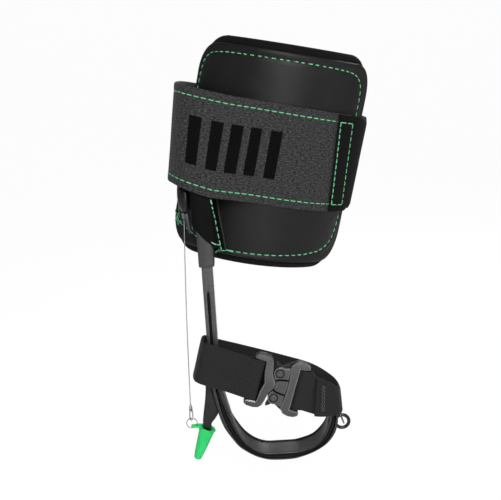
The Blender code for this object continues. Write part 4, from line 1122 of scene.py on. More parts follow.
def pad_normal(p):
    """Outward normal of the bent pad at a world point in millimetres."""
    w = Vector(p) - PC
    w = w - U * w.dot(U)
    return w.normalized()


def pad_y(x, z, rho):
    r = (x - PC.x) * Rv.x + (z - PC.z) * Rv.z
    r = max(min(r, rho * 0.999), -rho * 0.999)
    return PC.y - math.sqrt(rho * rho - r * r)


def rr_dist(s, h, ha, hh, c):
    """Distance inwards from the edge of a rounded rectangle."""
    qx, qy = abs(s) - (ha - c), abs(h) - (hh - c)
    return c - (math.hypot(max(qx, 0), max(qy, 0)) + min(max(qx, qy), 0.0))


def spread_out(n, dense_edge=0.55):
    """0..1 in n steps, closer together towards both ends."""
    return [(1 - dense_edge) * k / n + dense_edge * (0.5 - 0.5 * math.cos(PI * k / n)) for k in range(n + 1)]


def shell_rows(ha, hh, c, rows, cols, dense_edge=0.5):
    """(arc, h) grid that fills a rounded rectangle."""
    grid = []
    for fh in spread_out(rows, dense_edge):
        h = -hh + 2 * hh * fh
        e = max(abs(h) - (hh - c), 0.0)
        w = ha - c + math.sqrt(max(c * c - e * e, 0.0))
        grid.append([(-w + 2 * w * fc, h) for fc in spread_out(cols, dense_edge)])
    return grid


COVER_A, COVER_H, COVER_C = PAD_ARC - INSET, PAD_H - INSET, PAD_CORNER - 5
SEAM = [(-123.5, -30.0), (-123.0, 20.0), (-121.5, 60.0), (-120.5, 80.0), (-115.5, 96.0), (-103.0, 105.0),
        (-82.0, 107.8), (-62.5, 108.5), (-14.3, 109.0), (31.7, 109.2), (70.0, 108.0), (90.0, 105.0), (102.0, 97.5),
        (107.5, 84.0), (108.5, 62.5), (110.0, 20.0), (114.0, -20.0), (116.5, -50.0), (115.5, -70.0), (108.0, -90.0),
        (90.0, -102.5), (72.0, -106.5), (55.7, -108.6), (16.3, -111.3), (-13.8, -112.4), (-31.4, -112.3),
        (-46.0, -112.4), (-60.6, -110.6), (-78.0, -105.6), (-92.0, -101.0), (-106.0, -97.0), (-117.0, -89.0),
        (-122.0, -76.0), (-123.6, -55.0)]
seam_ah = smooth_path(SEAM + [SEAM[0]], 8)
seam_np = np.array(seam_ah)


def seam_dist(s, h):
    return float(np.sqrt(((seam_np - (s, h)) ** 2).sum(1).min()))


def cover_rho(s, h):
    """Outer radius of the cover: puffed inside the seam, pulled in along it, thin at the rim."""
    d = rr_dist(s, h, COVER_A, COVER_H, COVER_C)
    ds = seam_dist(s, h)
    puff = 1.1 * (1 - math.exp(-max(d - 10.0, 0.0) / 14.0))
    pull = -1.0 * math.exp(-(ds / 2.2) ** 2)
    rim = 0.55 * math.exp(-((d - 4.0) / 3.0) ** 2)
    wav = 0.35 * noise.noise(Vector((s * 0.03, h * 0.03, 1.7)))
    return PAD_R - 0.3 + puff + pull + rim + wav


grid = shell_rows(COVER_A, COVER_H, COVER_C, 120, 130, 0.45)
rows_o, rows_i = [], []
for r in grid:
    ro, ri = [], []
    for s, h in r:
        d = max(rr_dist(s, h, COVER_A, COVER_H, COVER_C), 0.0)
        e = math.sqrt(max(0.0, 1 - (1 - min(d / 1.8, 1.0)) ** 2))
        rho_o, rho_i = cover_rho(s, h), PAD_R - 2.3
        mid = PAD_R - 1.6
        ro.append(pad_point(s, h, mid + (rho_o - mid) * e))
        ri.append(pad_point(s, h, mid + (rho_i - mid) * e))
    rows_o.append(ro)
    rows_i.append(ri)
cover = make("pad_face", grid_shell(rows_o, rows_i), VINYL, "upper", ("pad_cover",), weld=0.02)

# green lock stitch round the cover
tb = thread_mesh()
closed = seam_ah + [seam_ah[0]]
stitches(tb, [pad_point(s, h, cover_rho(s, h) + 0.1) for s, h in closed], pad_normal, 5.9, 2.5, 0.64, 0.5)
make("pad_face_stitching", tb, THREAD, "upper")

# ---- foam cushion: blown up by a short cloth simulation between its pinned seams ----


def cushion():
    ha, hh, c = PAD_ARC - 1.0, PAD_H + 2.0, PAD_CORNER + 6.0
    rows, cols = 58, 60
    grid = [[(s_, h_ + 0.2) for s_, h_ in r_] for r_ in shell_rows(ha, hh, c, rows, cols, 0.85)]
    ro_i, ri_i = PAD_R - 4.6, PAD_R - 16.2
    mid = (ro_i + ri_i) / 2
    ro, ri, tag = [], [], {}
    for r in grid:
        a, b = [], []
        for s, h in r:
            d = max(rr_dist(s, h, ha, hh, c), 0.0)
            e = math.sqrt(max(0.0, 1 - (1 - min(d / 7.0, 1.0)) ** 2))
            a.append(pad_point(s, h, mid + (ro_i - mid) * e))
            b.append(pad_point(s, h, mid + (ri_i - mid) * e))
        ro.append(a)
        ri.append(b)
    bm = grid_shell(ro, ri)
    ob = make("pad_foam", bm, FOAM, weld=0.05)
    pin = ob.vertex_groups.new(name="pin")
    base = []
    for v in ob.data.vertices:
        p = v.co / MM
        w = p - PC
        h = w.dot(U)
        rad = w - U * h
        rho = rad.length
        arc = math.atan2(rad.dot(Rv), -rad.y) * PAD_R
        d = rr_dist(arc, h, ha, hh, c)
        base.append((arc, h, rho, d))
        inside = rho < mid
        weight = 0.0
        if not inside and d > 9:
            weight = 1.0
        if inside:
            lines = [abs(d - 15.0)]
            if d > 15.0:
                lines += [abs(abs(arc) - 44.0), abs(h - 40.0), abs(h + 40.0)]
            if min(lines) < 2.4:
                weight = 1.0
        if weight:
            pin.add([v.index], weight, 'REPLACE')
    rest = np.array([v.co[:] for v in ob.data.vertices])
    cl = ob.modifiers.new("cloth", 'CLOTH')
    st = cl.settings
    st.quality = 6
    st.mass = 0.25
    st.tension_stiffness = st.compression_stiffness = 12.0
    st.bending_stiffness = 0.5
    st.use_pressure = True
    st.uniform_pressure_force = 4.0
    st.vertex_group_mass = "pin"
    st.effector_weights.gravity = 0.0
    cl.point_cache.frame_start, cl.point_cache.frame_end = 1, 20
    sc = bpy.context.scene
    for f in range(1, 21):
        sc.frame_set(f)
    dg = bpy.context.evaluated_depsgraph_get()
    ev = ob.evaluated_get(dg)
    got = np.array([v.co[:] for v in ev.data.vertices])
    ob.modifiers.clear()
    sc.frame_set(1)
    move = got - rest
    size = np.linalg.norm(move, axis=1)
    cap = np.array([0.0042 if b[2] < mid else 0.0016 for b in base])
    k = np.where(size > cap, cap / np.maximum(size, 1e-9), 1.0)
    new = rest + move * k[:, None]
    # keep the blown form inside the space under the cover
    for i, p in enumerate(new):
        w = Vector(p) / MM - PC
        h = w.dot(U)
        rad = w - U * h
        lim = PAD_R - 3.0
        if rad.length > lim:
            rad = rad.normalized() * lim
            new[i] = (PC + U * h + rad) * MM
    ob.data.vertices.foreach_set("co", new.astype(np.float32).ravel())
    ob.data.update()
    sub = ob.modifiers.new("sub", 'SUBSURF')
    sub.levels = sub.render_levels = 1
    apply_mods(ob)
    ob.data.shade_smooth()
    # the lining lies inside the edge seam, on the side that meets the leg
    ob.data.materials.append(LINING)
    for pl in ob.data.polygons:
        w = pl.center / MM - PC
        h = w.dot(U)
        rad = w - U * h
        arc = math.atan2(rad.dot(Rv), -rad.y) * PAD_R
        if rad.length < mid - 1.5 and rr_dist(arc, h - 0.2, ha, hh, c) > 2.6:
            pl.material_index = 1
    return ob


foam = cushion()
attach(foam, "upper")
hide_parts("pad_cushion")

# quilting thread along the sewn channels of the lining
lining = BVHTree.FromPolygons([v.co for v in foam.data.vertices], [p.vertices for p in foam.data.polygons])


def lining_line(ah):
    """The (arc, h) line laid on the lining, from the leg's side."""
    out = []
    for s, h in ah:
        o, t = pad_point(s, h, PAD_R - 45.0) * MM, pad_point(s, h, PAD_R) * MM
        hit = lining.ray_cast(o, (t - o).normalized())[0]
        if hit is not None:
            out.append(hit / MM)
    return out


tb = thread_mesh()
qa, qh, qc = PAD_ARC - 1.0 - 15.0, PAD_H + 2.0 - 15.0, PAD_CORNER - 6.0
ring_q = []
for cx, cy, a0 in ((qa - qc, qh - qc, 0), (qc - qa, qh - qc, 90), (qc - qa, qc - qh, 180), (qa - qc, qc - qh, 270)):
    for k in range(7):
        a = math.radians(a0 + 15 * k)
        ring_q.append((cx + qc * math.cos(a), cy + 0.2 + qc * math.sin(a)))
ring_q.append(ring_q[0])
quilt = [ring_q] + [[(-qa, h), (qa, h)] for h in (-40.0, 40.0)] + [[(a, -qh), (a, qh)] for a in (-44.0, 44.0)]
for line in quilt:
    fine = []
    for (s0, h0), (s1, h1) in zip(line, line[1:]):
        n = max(1, int(math.hypot(s1 - s0, h1 - h0) / 2.0))
        fine += [(s0 + (s1 - s0) * k / n, h0 + (h1 - h0) * k / n) for k in range(n)]
    fine.append(line[-1])
    stitches(tb, lining_line(fine), lambda p: -pad_normal(p), 3.6, 1.6, 0.42, 0.25)
make("lining_stitching", tb, THREAD_BK, "upper")


from mathutils.geometry import tessellate_polygon


class Run:
    """Surface of a strap: upper and lower edge lines, thickness, and points on its faces."""

    def __init__(self, stations, thick, per=3):
        self.A = dense([a for a, b in stations], per)
        self.B = dense([b for a, b in stations], per)
        self.t = thick
        mids = [(a + b) * 0.5 for a, b in zip(self.A, self.B)]
        self.run = [0.0]
        for p, q in zip(mids, mids[1:]):
            self.run.append(self.run[-1] + (q - p).length)
        self.N = []
        n = len(mids)
        for k in range(n):
            t = mids[min(k + 1, n - 1)] - mids[max(k - 1, 0)]
            self.N.append(t.cross(self.A[k] - self.B[k]).normalized())

    def find(self, u):
        u = min(max(u, 0.0), self.run[-1])
        k = 0
        while k < len(self.run) - 2 and self.run[k + 1] < u:
            k += 1
        f = (u - self.run[k]) / max(self.run[k + 1] - self.run[k], 1e-9)
        return k, f

    def at(self, u, s, lift=0.0, side=1):
        k, f = self.find(u)
        a = self.A[k].lerp(self.A[k + 1], f)
        b = self.B[k].lerp(self.B[k + 1], f)
        n = self.N[k].lerp(self.N[k + 1], f).normalized()
        return a.lerp(b, s) + n * (side * (self.t / 2 + lift))

    def normal(self, side=1):
        pts = [((a + b) * 0.5, n) for a, b, n in zip(self.A, self.B, self.N)]

        def f(p):
            best = min(pts, key=lambda q: (q[0] - p).length_squared)
            return best[1] * side
        return f


def flip_if(run, toward):
    """True when side +1 of the strap faces the given point's side at its middle."""
    k = len(run.N) // 2
    return (Vector(toward) - (run.A[k] + run.B[k]) * 0.5).dot(run.N[k]) > 0


# ===========================================================================
#  pocket panel sewn over the sleeve
# ===========================================================================
PT = 2.0


def pocket_cols(z):
    yb = pad_y(-89.9, z, PAD_R) - PT / 2 - 1.4
    front = -(sy + 0.45 + PT / 2)
    hem = -54.6 - 0.128 * (min(z, 298.0) - 256.0) - 1.2 * (1 - math.exp(-max(z - 298.0, 0.0) / 12.0))
    yh = pad_y(hem, z, PAD_R) - PT / 2 - 0.2
    xs, ys = -67.2, front + 0.6                       # where the panel leaves the sleeve's front
    x1 = hem - 3.0
    y1 = pad_y(x1, z, PAD_R) - PT / 2 - 1.2

    def ramp_at(f):
        # a shallow S between the sewn edge and the sleeve
        g_ = f * f * (3 - 2 * f) * 0.35 + f * 0.65
        return (x1 + (xs - x1) * f, y1 + (ys - y1) * g_)
    return [(hem, yh), (hem - 1.5, yh - 0.7), (x1, y1), ramp_at(0.25), ramp_at(0.5), ramp_at(0.75),
            (xs, ys), (-77.0, front - 0.3), (-83.5, front),
            (-88.3, front + 1.6), (-89.8, front + 6.5), (-89.95, 2.0), (-89.95, max(yb * 0.6, 12.0)),
            (-89.95, max(yb, 18.0))]


low_z = [250.4, 251.0, 251.8, 254.0, 256.2, 258.4, 260.8, 270.5, 278.5, 284.0, 287.0, 290.0, 293.0, 296.0]
NC = len(low_z)
zs_top = 392.0
rows_mid = []
for i in range(61):
    f = i / 60
    pts = []
    for c in range(NC):
        z = low_z[c] + (zs_top - low_z[c]) * f
        x, y = pocket_cols(z)[c]
        pts.append((x, y, z))
    rows_mid.append(smooth_path(pts, 7))
rows_o, rows_i = [], []
nr, ncol = len(rows_mid), len(rows_mid[0])
for i, row in enumerate(rows_mid):
    ro, ri = [], []
    for c, p in enumerate(row):
        p = Vector(p)
        t = Vector(row[min(c + 1, ncol - 1)]) - Vector(row[max(c - 1, 0)])
        nrm = Vector((-t.y, t.x, 0)).normalized()
        run_c = c / (ncol - 1)
        d = min(c * 0.9, (ncol - 1 - c) * 1.2, i * 2.2)
        e = math.sqrt(max(0.0, 1 - (1 - min(d / 1.4, 1.0)) ** 2))
        # raised hem along the sewn edge, pulled in at the stitch line
        hem = 0.75 * math.exp(-((c - 2.0) / 1.7) ** 2) - 0.5 * math.exp(-((c - 12.0) / 1.7) ** 2)
        wob = 0.5 * noise.noise(p * 0.035) * min(1.0, c / 12.0)
        ro.append(p + nrm * (PT / 2 * e + hem * e + wob))
        ri.append(p - nrm * (PT / 2 * e) + nrm * wob)
    rows_o.append(ro)
    rows_i.append(ri)
panel_o = rows_o
panel = make("pocket_cover", grid_shell(rows_o, rows_i), PANELM, "upper", ("pocket_panel",),
             weld=0.02, angle=60)
# ridge cord inside the panel's hem
ridge = [panel_o[i][3] + Vector((0.1, -0.3, 0)) for i in range(1, 61)]
make("pocket_piping", tube(ridge, 0.9, 10), PIPING, "upper")


def panel_normal(p):
    best, bn = 1e9, Vector((0, -1, 0))
    for i in range(0, nr, 3):
        for c in range(0, ncol - 1):
            q = panel_o[i][c]
            d = (q - p).length_squared
            if d < best:
                best = d
                t = panel_o[i][min(c + 1, ncol - 1)] - panel_o[i][max(c - 1, 0)]
                bn = Vector((-t.y, t.x, 0)).normalized()
    return bn


tb = thread_mesh()
line = []
for i in range(0, 61):
    # a constant step in from the hem, measured across the panel's face
    goal = panel_o[i][0].x - 5.6
    c = min(range(10, ncol - 20), key=lambda q: abs(panel_o[i][q].x - goal))
    line.append(panel_o[i][c] + Vector((0.1, -0.55, 0)))
line = [pad_point(-43.5, -117.0, PAD_R + 0.9)] + line
stitches(tb, line, panel_normal, 6.4, 2.0, 0.85, 0.35, seed=3)
c_in = min(range(10, ncol - 14), key=lambda q: abs(panel_o[2][q].x + 70.0))
c_out = min(range(10, ncol - 20), key=lambda q: abs(panel_o[2][q].x + 59.6))
step = 1 if c_out > c_in else -1
stitches(tb, [panel_o[2][c] + Vector((0, -0.4, 0)) for c in range(c_in, c_out + step, step)], panel_normal, 11.0, 1.0, 0.7, 0.2)
make("pocket_stitching_heavy", tb, THREAD_HI, "upper")
tb = thread_mesh()
# long loose stitches that cross at the panel's corner
for (s0, h0), (s1, h1) in (((-46.5, -118.6), (-40.0, -111.5)), ((-43.0, -115.0), (-31.0, -112.2)),
                           ((-33.5, -111.8), (-24.5, -113.0))):
    seg = [pad_point(s0 + (s1 - s0) * k / 8, h0 + (h1 - h0) * k / 8, PAD_R + 1.5) for k in range(9)]
    stitches(tb, seg, pad_normal, 40.0, 0.0, 0.8, 0.5, seed=5)
# sewn corner at the far side, crossed stitches
for (s0, h0), (s1, h1) in (((-124.5, -84.0), (-112.0, -93.0)), ((-120.0, -97.0), (-113.0, -84.5)),
                           ((-113.5, -93.5), (-101.0, -98.0)), ((-119.0, -90.0), (-110.0, -100.0))):
    seg = [pad_point(s0 + (s1 - s0) * k / 8, h0 + (h1 - h0) * k / 8, PAD_R + 1.4) for k in range(9)]
    stitches(tb, seg, pad_normal, 6.0, 1.6, 0.75, 0.5, seed=6)
make("pocket_stitching", tb, THREAD, "upper")

# ===========================================================================
#  calf strap
# ===========================================================================
STRAP_W, STRAP_H, STRAP_T = 116.0, 2.2, 3.0
strap_path = [(86.0, 39.4), (60.0, 17.9), (30.0, 5.2), (4.0, 1.0), (-22.0, -3.4), (-44.0, -11.2),
              (-62.0, -18.2), (-75.0, -20.8), (-88.0, -20.9), (-100.0, -17.2), (-109.0, -8.4),
              (-115.6, 7.0), (-117.4, 30.0), (-117.4, 60.0), (-112.4, 92.0), (-98.0, 124.0), (-73.0, 153.0),
              (-38.0, 172.0), (2.0, 178.0), (42.0, 171.0), (73.0, 153.0), (93.5, 128.0), (103.0, 104.0),
              (105.4, 88.0)]
st = []
for r, y in smooth_path(strap_path, 2):
    w = min(max((-r - 60.0) / 50.0, 0.0), 1.0)
    top, bot = STRAP_H + STRAP_W / 2 + 2.5 * w, STRAP_H - STRAP_W / 2 + 7.5 * w
    st.append((PC + U * top + Rv * (r - 0.085 * top * w) + Vector((0, y - PC.y, 0)),
               PC + U * bot + Rv * (r - 0.085 * bot * w) + Vector((0, y - PC.y, 0))))
CR = Run(st, STRAP_T, 6)
OUTW = 1 if flip_if(CR, (0, -400, 358)) or True else -1
k0 = CR.find(100.0)[0]
OUTW = 1 if CR.N[k0].y < 0 else -1

# plain pressed bars on the strap's front, in (run, across) millimetres
BARS = [(191.0 - 23.5 * q, 30.0, 15.0, 55.0) for q in range(5)]


def bar_depth(u, v):
    best = 0.0
    for bu, bv, bw, bh in BARS:
        du = min(u - (bu - bw / 2), (bu + bw / 2) - u)
        dv = min(v - bv, bv + bh - v)
        d = min(du, dv)
        if d > 0:
            best = max(best, min(d / 0.9, 1.0))
    return best


def calf_disp(u, s, side):
    v = s * STRAP_W
    e = 0.0
    dd = min(v, STRAP_W - v)
    soft = 0.55 * noise.noise(Vector((u * 0.02, v * 0.03, 4.2)))
    hem = -0.55 * math.exp(-((dd - 9.3) / 1.3) ** 2) + 0.25 * math.exp(-((dd - 4.5) / 3.0) ** 2)
    if side == OUTW:
        e += hem - 0.45 * bar_depth(u, v)
    return OUTW * (soft * 0.6) + side * e * 1.0 if side != OUTW else OUTW * (soft * 0.6 + e)


def calf_strap():
    A, B = CR.A, CR.B
    total = CR.run[-1]
    us, u = [], 0.0
    while u < total:
        us.append(u)
        u += 1.5 if 84 < u < 206 else 3.0
    us.append(total)
    cols = 78
    ss = [0.0, 0.004, 0.009, 0.016] + [0.016 + (1 - 0.032) * c / cols for c in range(1, cols)] + [0.984, 0.991, 0.996, 1.0]
    rings, params = [], []
    for u in us:
        ring, par = [], []
        de = min(u, total - u)
        ef = max(0.35, math.sqrt(max(0.0, 1 - (1 - min(de / 1.5, 1.0)) ** 2)))
        for side in (1, -1):
            seq = ss if side == 1 else list(reversed(ss))
            for s in seq:
                d = min(s, 1 - s) * STRAP_W
                half = STRAP_T / 2 * ef * (math.sqrt(max(0.0, 1 - (1 - d / 1.5) ** 2)) if d < 1.5 else 1.0)
                half = max(half, 0.12)
                p = CR.at(u, s, -STRAP_T / 2)
                k, f = CR.find(u)
                n = CR.N[k].lerp(CR.N[k + 1], f).normalized()
                x = calf_disp(u, s, side)
                ring.append(p + n * (side * half + x))
                par.append((u * MM, s * STRAP_W * MM, side * 0.01))
        rings.append(ring)
        params.append(par)
    ob = make("calf_wrap", loft(rings, params=params), FELT, "upper", ("calf_strap",), angle=60)
    ob.data.materials.append(MARKM)
    lay = ob.data.attributes["weave"]
    uv = np.zeros(len(ob.data.vertices) * 3, np.float32)
    lay.data.foreach_get("vector", uv)
    uv = uv.reshape(-1, 3)
    for f in ob.data.polygons:
        c = uv[list(f.vertices)].mean(0)
        if c[2] * OUTW > 0 and bar_depth(c[0] / MM, c[1] / MM) > 0.4:
            f.material_index = 1
    return ob


calf = calf_strap()
tb = thread_mesh()
CN = CR.normal(OUTW)
for s in (9.3 / STRAP_W, 1 - 9.3 / STRAP_W):
    line = [CR.at(u, s, -0.35, OUTW) for u in np.arange(2.0, CR.run[-1] - 2.0, 2.0)]
    stitches(tb, line, CN, 6.4, 1.9, 0.62, 0.4, seed=11)
make("calf_wrap_stitching", tb, THREAD, "upper")

# ---- edge band ----
edge_path = [(60.5, 15.2), (69.0, 19.8), (78.0, 26.9), (87.5, 36.0), (97.0, 47.6), (104.6, 60.0), (108.9, 73.0),
             (109.8, 84.0), (108.9, 94.0), (106.8, 104.0)]
st = []
path2 = smooth_path(edge_path, 2)
for i, (r, y) in enumerate(path2):
    top, bot = STRAP_H + STRAP_W / 2 - 0.6, STRAP_H - STRAP_W / 2 + 0.6
    st.append((PC + U * top + Rv * r + Vector((0, y - PC.y, 0)),
               PC + U * bot + Rv * r + Vector((0, y - PC.y, 0))))
# slanted sewn end: the lower edge starts further round than the upper one
ER = Run(st, 2.4, 6)
EOUT = 1 if ER.N[4].y < 0 else -1
E_W = STRAP_W - 1.2
total = ER.run[-1]
rings, params = [], []
NU, NS = 72, 64
for i in range(NU + 1):
    ring, par = [], []
    for side in (1, -1):
        seq = list(range(NS + 1)) if side == 1 else list(range(NS, -1, -1))
        for j in seq:
            s = j / NS
            s = 0.5 - 0.5 * math.cos(PI * s) if j not in (0, NS) else s
            s = 0.6 * s + 0.4 * j / NS
            # round the outer corners, slant the sewn end
            u0 = 8.4 + 13.5 * s
            dd = min(s, 1 - s) * E_W
            cut = 0.0
            u1 = total
            u = u0 + (u1 - u0) * i / NU
            de = min(u - u0, u1 - u, dd)
            e = math.sqrt(max(0.0, 1 - (1 - min(de / 1.1, 1.0)) ** 2))
            half = max(1.2 * e, 0.1)
            p = ER.at(u, s, -1.2)
            k, f = ER.find(u)
            n = ER.N[k].lerp(ER.N[k + 1], f).normalized()
            # pull the top and bottom of the fold in so that its corners are round
            fold = math.exp(-((u - 72.0) / 13.0) ** 2)
            pull = fold * 7.0 * max(0.0, 1 - dd / 9.0) ** 2
            wav = 0.25 * noise.noise(Vector((u * 0.05, s * 4.0, 2.0)))
            groove = -0.35 * math.exp(-((u - u0 - 3.1) / 1.2) ** 2) - 0.35 * math.exp(-((u - u0 - 24.1) / 1.2) ** 2)
            out = EOUT * (wav + (groove if side == EOUT else 0.0)) - EOUT * pull * 0.8
            ring.append(p + n * (side * half + out) - U * 0.0)
            par.append((u * MM, s * E_W * MM, side * 0.01))
    rings.append(ring)
    params.append(par)
make("strap_fold_band", loft(rings, params=params), BANDM, "upper", ("strap_edge_band",), angle=60)
tb = thread_mesh()
EN = ER.normal(EOUT)
inset = 8.8 / E_W
for off in (9.5, 30.5):
    line = [ER.at(2.0 + 13.5 * s + off, s, -0.15, EOUT) for s in np.linspace(inset, 1 - inset, 60)]
    stitches(tb, line, EN, 5.2 if off < 20 else 6.0, 1.6, 0.74 if off < 20 else 0.62, 0.4, seed=21)
for s in (inset, 1 - inset):
    line = [ER.at(u, s, -0.1, EOUT) for u in np.arange(2.0 + 13.5 * s + 9.5, 2.0 + 13.5 * s + 31.0, 1.5)]
    stitches(tb, line, EN, 6.0, 1.8, 0.64, 0.4, seed=22)
make("strap_fold_stitching", tb, THREAD, "upper")

# ===========================================================================
#  ankle strap
# ===========================================================================
WEB_TILT, BUCKLE_TILT, WEB_T = math.radians(19.3), math.radians(17.6), 2.2
BO = Vector((-3.0, 0, 96.0))
we = Vector((math.cos(WEB_TILT), 0, -math.sin(WEB_TILT)))
wn = Vector((math.sin(WEB_TILT), 0, math.cos(WEB_TILT)))
be = Vector((math.cos(BUCKLE_TILT), 0, -math.sin(BUCKLE_TILT)))
bn = Vector((math.sin(BUCKLE_TILT), 0, math.cos(BUCKLE_TILT)))


def web(s, t, y):
    return BO + we * s + wn * t + Vector((0, y, 0))


def buck(s, t, y):
    return BO + be * s + bn * t + Vector((0, y, 0))


BAR_Y, BAR_R = -30.6, 2.4
LOOP_R = BAR_R + 0.4 + WEB_T / 2


def loop_stations(sign, s_bar, upto, tail, half=25.0):
    out = []
    for s, y in upto:
        out.append((buck(s, half, y), buck(s, -half, y)))
    for k in range(7):
        a = PI * k / 6
        s = s_bar + sign * LOOP_R * math.sin(a)
        y = BAR_Y - LOOP_R * math.cos(a)
        out.append((buck(s, half, y), buck(s, -half, y)))
    for s, y in tail:
        out.append((buck(s, half, y), buck(s, -half, y)))
    return out


M_BAR, F_BAR = -25.6, 26.2
front = []
for s, y in ((-84.0, -25.2), (-72.0, -25.9), (-60.0, -27.0), (-50.0, -28.9), (-40.0, -31.8)):
    f = min(max((s + 84.0) / 44.0, 0.0), 1.0)
    front.append((web(s, 24.2, y) * (1 - f) + buck(s, 25.0, y) * f, web(s, -26.8, y) * (1 - f) + buck(s, -25.0, y) * f))
front += loop_stations(1.0, M_BAR, [(-34.0, -33.6)], [(-35.0, -26.9), (-42.0, -25.6), (-50.0, -24.6)])


def web_disp(amp, seed):
    def f(u, s, side):
        edge = math.exp(-(min(s, 1 - s) * 50 / 2.2) ** 2)
        return amp * noise.noise(Vector((u * 0.05, s * 2.5, seed))) * 0.6 - 0.12 * edge * side
    return f


rear = [(web(-84.5, 24.2, -25.2), web(-84.5, -26.8, -25.2)),
        (web(-91.0, 24.0, -24.2), web(-89.0, -26.6, -24.2)),
        (web(-95.6, 23.4, -20.6), web(-93.2, -26.6, -20.6)),
        (web(-98.0, 22.6, -12.5), web(-95.4, -26.8, -12.5)),
        (web(-98.6, 21.4, -1.0), web(-96.0, -27.4, -1.0)),
        (web(-97.6, 20.2, 10.0), web(-95.2, -28.6, 10.0)),
        (web(-94.6, 19.2, 17.6), web(-92.4, -30.0, 17.6)),
        (web(-88.5, 18.4, 21.2), web(-87.0, -31.2, 21.2)),
        (web(-76.0, 18.0, 22.0), web(-76.0, -32.0, 22.0)),
        (web(-50.0, 18.2, 21.6), web(-50.0, -31.8, 21.6)),
        (web(-20.0, 18.8, 21.6), web(-20.0, -31.2, 21.6)),
        (web(10.0, 19.0, 21.6), web(10.0, -31.0, 21.6)),
        (web(34.0, 18.6, 21.6), web(34.0, -31.0, 21.6)),
        ((50.0, 21.6, 94.4), (38.5, 21.6, 47.2)),
        ((61.0, 20.6, 86.4), (56.0, 20.6, 43.0)),
        ((67.2, 17.4, 81.4), (66.8, 18.6, 44.2)),
        ((70.9, 9.0, 77.8), (71.8, 10.4, 46.2)),
        ((71.9, -2.0, 76.4), (73.4, -2.0, 47.6)),
        ((70.8, -11.6, 78.8), (72.0, -12.4, 47.8)),
        ((67.2, -19.6, 84.2), (67.6, -20.4, 48.4)),
        ((60.0, -24.6, 91.2), (58.0, -25.0, 49.0)),
        ((51.0, -27.6, 97.2), (47.5, -27.9, 50.2)),
        ((43.4, -30.0, 102.2), (38.2, -30.2, 52.4))]
rear = [(Vector(a), Vector(b)) for a, b in rear]
# the front stretch carries on round the upright and laps over the rear stretch's end
wrap = list(reversed(rear[1:8])) + front
wrap = [(web(-79.0, 18.0, 23.2), web(-79.0, -31.9, 23.2)), (web(-84.0, 18.2, 22.7), web(-83.4, -31.6, 22.7))] \
    + wrap[1:]
bm, r_ = strap(wrap, WEB_T, cols=26, per=6, disp=web_disp(0.5, 3.0))
fr = make("ankle_web_front", bm, WEB, None, (), angle=70)
rear = [(web(-88.0, 18.6, 17.8), web(-86.4, -31.0, 17.8)), (web(-80.0, 18.1, 19.4), web(-79.4, -31.8, 19.4)),
        (web(-66.0, 18.1, 20.4), web(-66.0, -31.9, 20.4))] + rear[9:]
# one run of webbing: the front stretch carries on round the upright into the rear stretch
RR = Run(rear, WEB_T, 4)
ROUT = 1 if (RR.N[2].y > 0) else -1
lastu = RR.run[-1]


def rear_disp(u, s, side):
    pleat = 0.0
    d = lastu - u
    if d < 62:
        # gathered pleats where the strap is folded to meet the link
        k = min(1.0, (62 - d) / 12) * min(1.0, d / 9)
        pleat = 0.8 * k * math.sin(2 * PI * (d * 0.36 + 0.35 * math.sin(s * 5.0))) * (0.55 + 0.45 * s)
    return 0.28 * noise.noise(Vector((u * 0.05, s * 2.5, 8.0))) + pleat * 0.6


bm, r_ = strap(rear, WEB_T, cols=30, per=9, disp=rear_disp)
make("ankle_web_rear", bm, WEB, "lower_frame", ("ankle_strap_rear",), angle=70)
short = [((60.5, -21.4, 89.6), (57.0, -21.6, 47.6)), ((52.0, -23.9, 94.6), (48.6, -24.2, 49.4)),
         ((44.0, -26.4, 99.6), (38.8, -26.7, 53.4))]
short = [(Vector(a), Vector(b)) for a, b in short]
short += loop_stations(-1.0, F_BAR, [(36.5, -32.2), (32.0, -33.9)], [(33.0, -26.9), (38.5, -24.9)], 24.6)
bm, r_ = strap(short, WEB_T, cols=26, per=5, disp=web_disp(0.3, 5.0))
make("ankle_web_short", bm, WEB, "lower_frame", ("ankle_strap_short",), angle=70)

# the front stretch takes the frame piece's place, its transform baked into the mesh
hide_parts("ankle_strap_front")
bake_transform(fr)

# bar tack: a zigzag of black thread that closes the fold
tb = thread_mesh()
RN = RR.normal(ROUT)
for rowoff, wdt in ((6.8, 2.6), (9.6, 2.2)):
    zz = []
    n = 15
    for k in range(n):
        s = 0.16 + 0.68 * k / (n - 1)
        zz.append(RR.at(lastu - rowoff - (wdt if k % 2 else 0.0), s, 0.75, ROUT))
    for a, b in zip(zz, zz[1:]):
        stitches(tb, [a.lerp(b, k / 6) for k in range(7)], RN, 40, 0.0, 0.62, 0.1)
make("ankle_web_bartack", tb, THREAD_BK, "lower_frame")
# turned hem at the fold's free edge
hem = [RR.at(lastu - 1.1, s, 0.15, ROUT) for s in np.linspace(0.02, 0.98, 40)]
make("ankle_web_hem", tube(hem, 0.95, 12), WEB, "lower_frame")

# link wire
lk_d = Vector((-0.33, 0, 0.944))
lk_c = Vector((73.0, 0, 36.9))
pts = []
for k in range(90):
    a = 2 * PI * k / 90
    ca, sa = math.cos(a), math.sin(a)
    pts.append(lk_c + lk_d * (9.2 * math.copysign(abs(sa) ** 0.7, sa))
               + Vector((0, 4.3 * math.copysign(abs(ca) ** 0.7, ca), 0)))
make("fold_link", tube(pts, 0.85, 14, closed=True), STEEL_DK, "lower_frame", ("strap_link",))

# ===========================================================================
#  buckle
# ===========================================================================


def bxyz(p, y):
    return buck(p[0], p[1], y)


def mirrored(half):
    return half + [(s, -t) for s, t in reversed(half) if t > 1e-6]


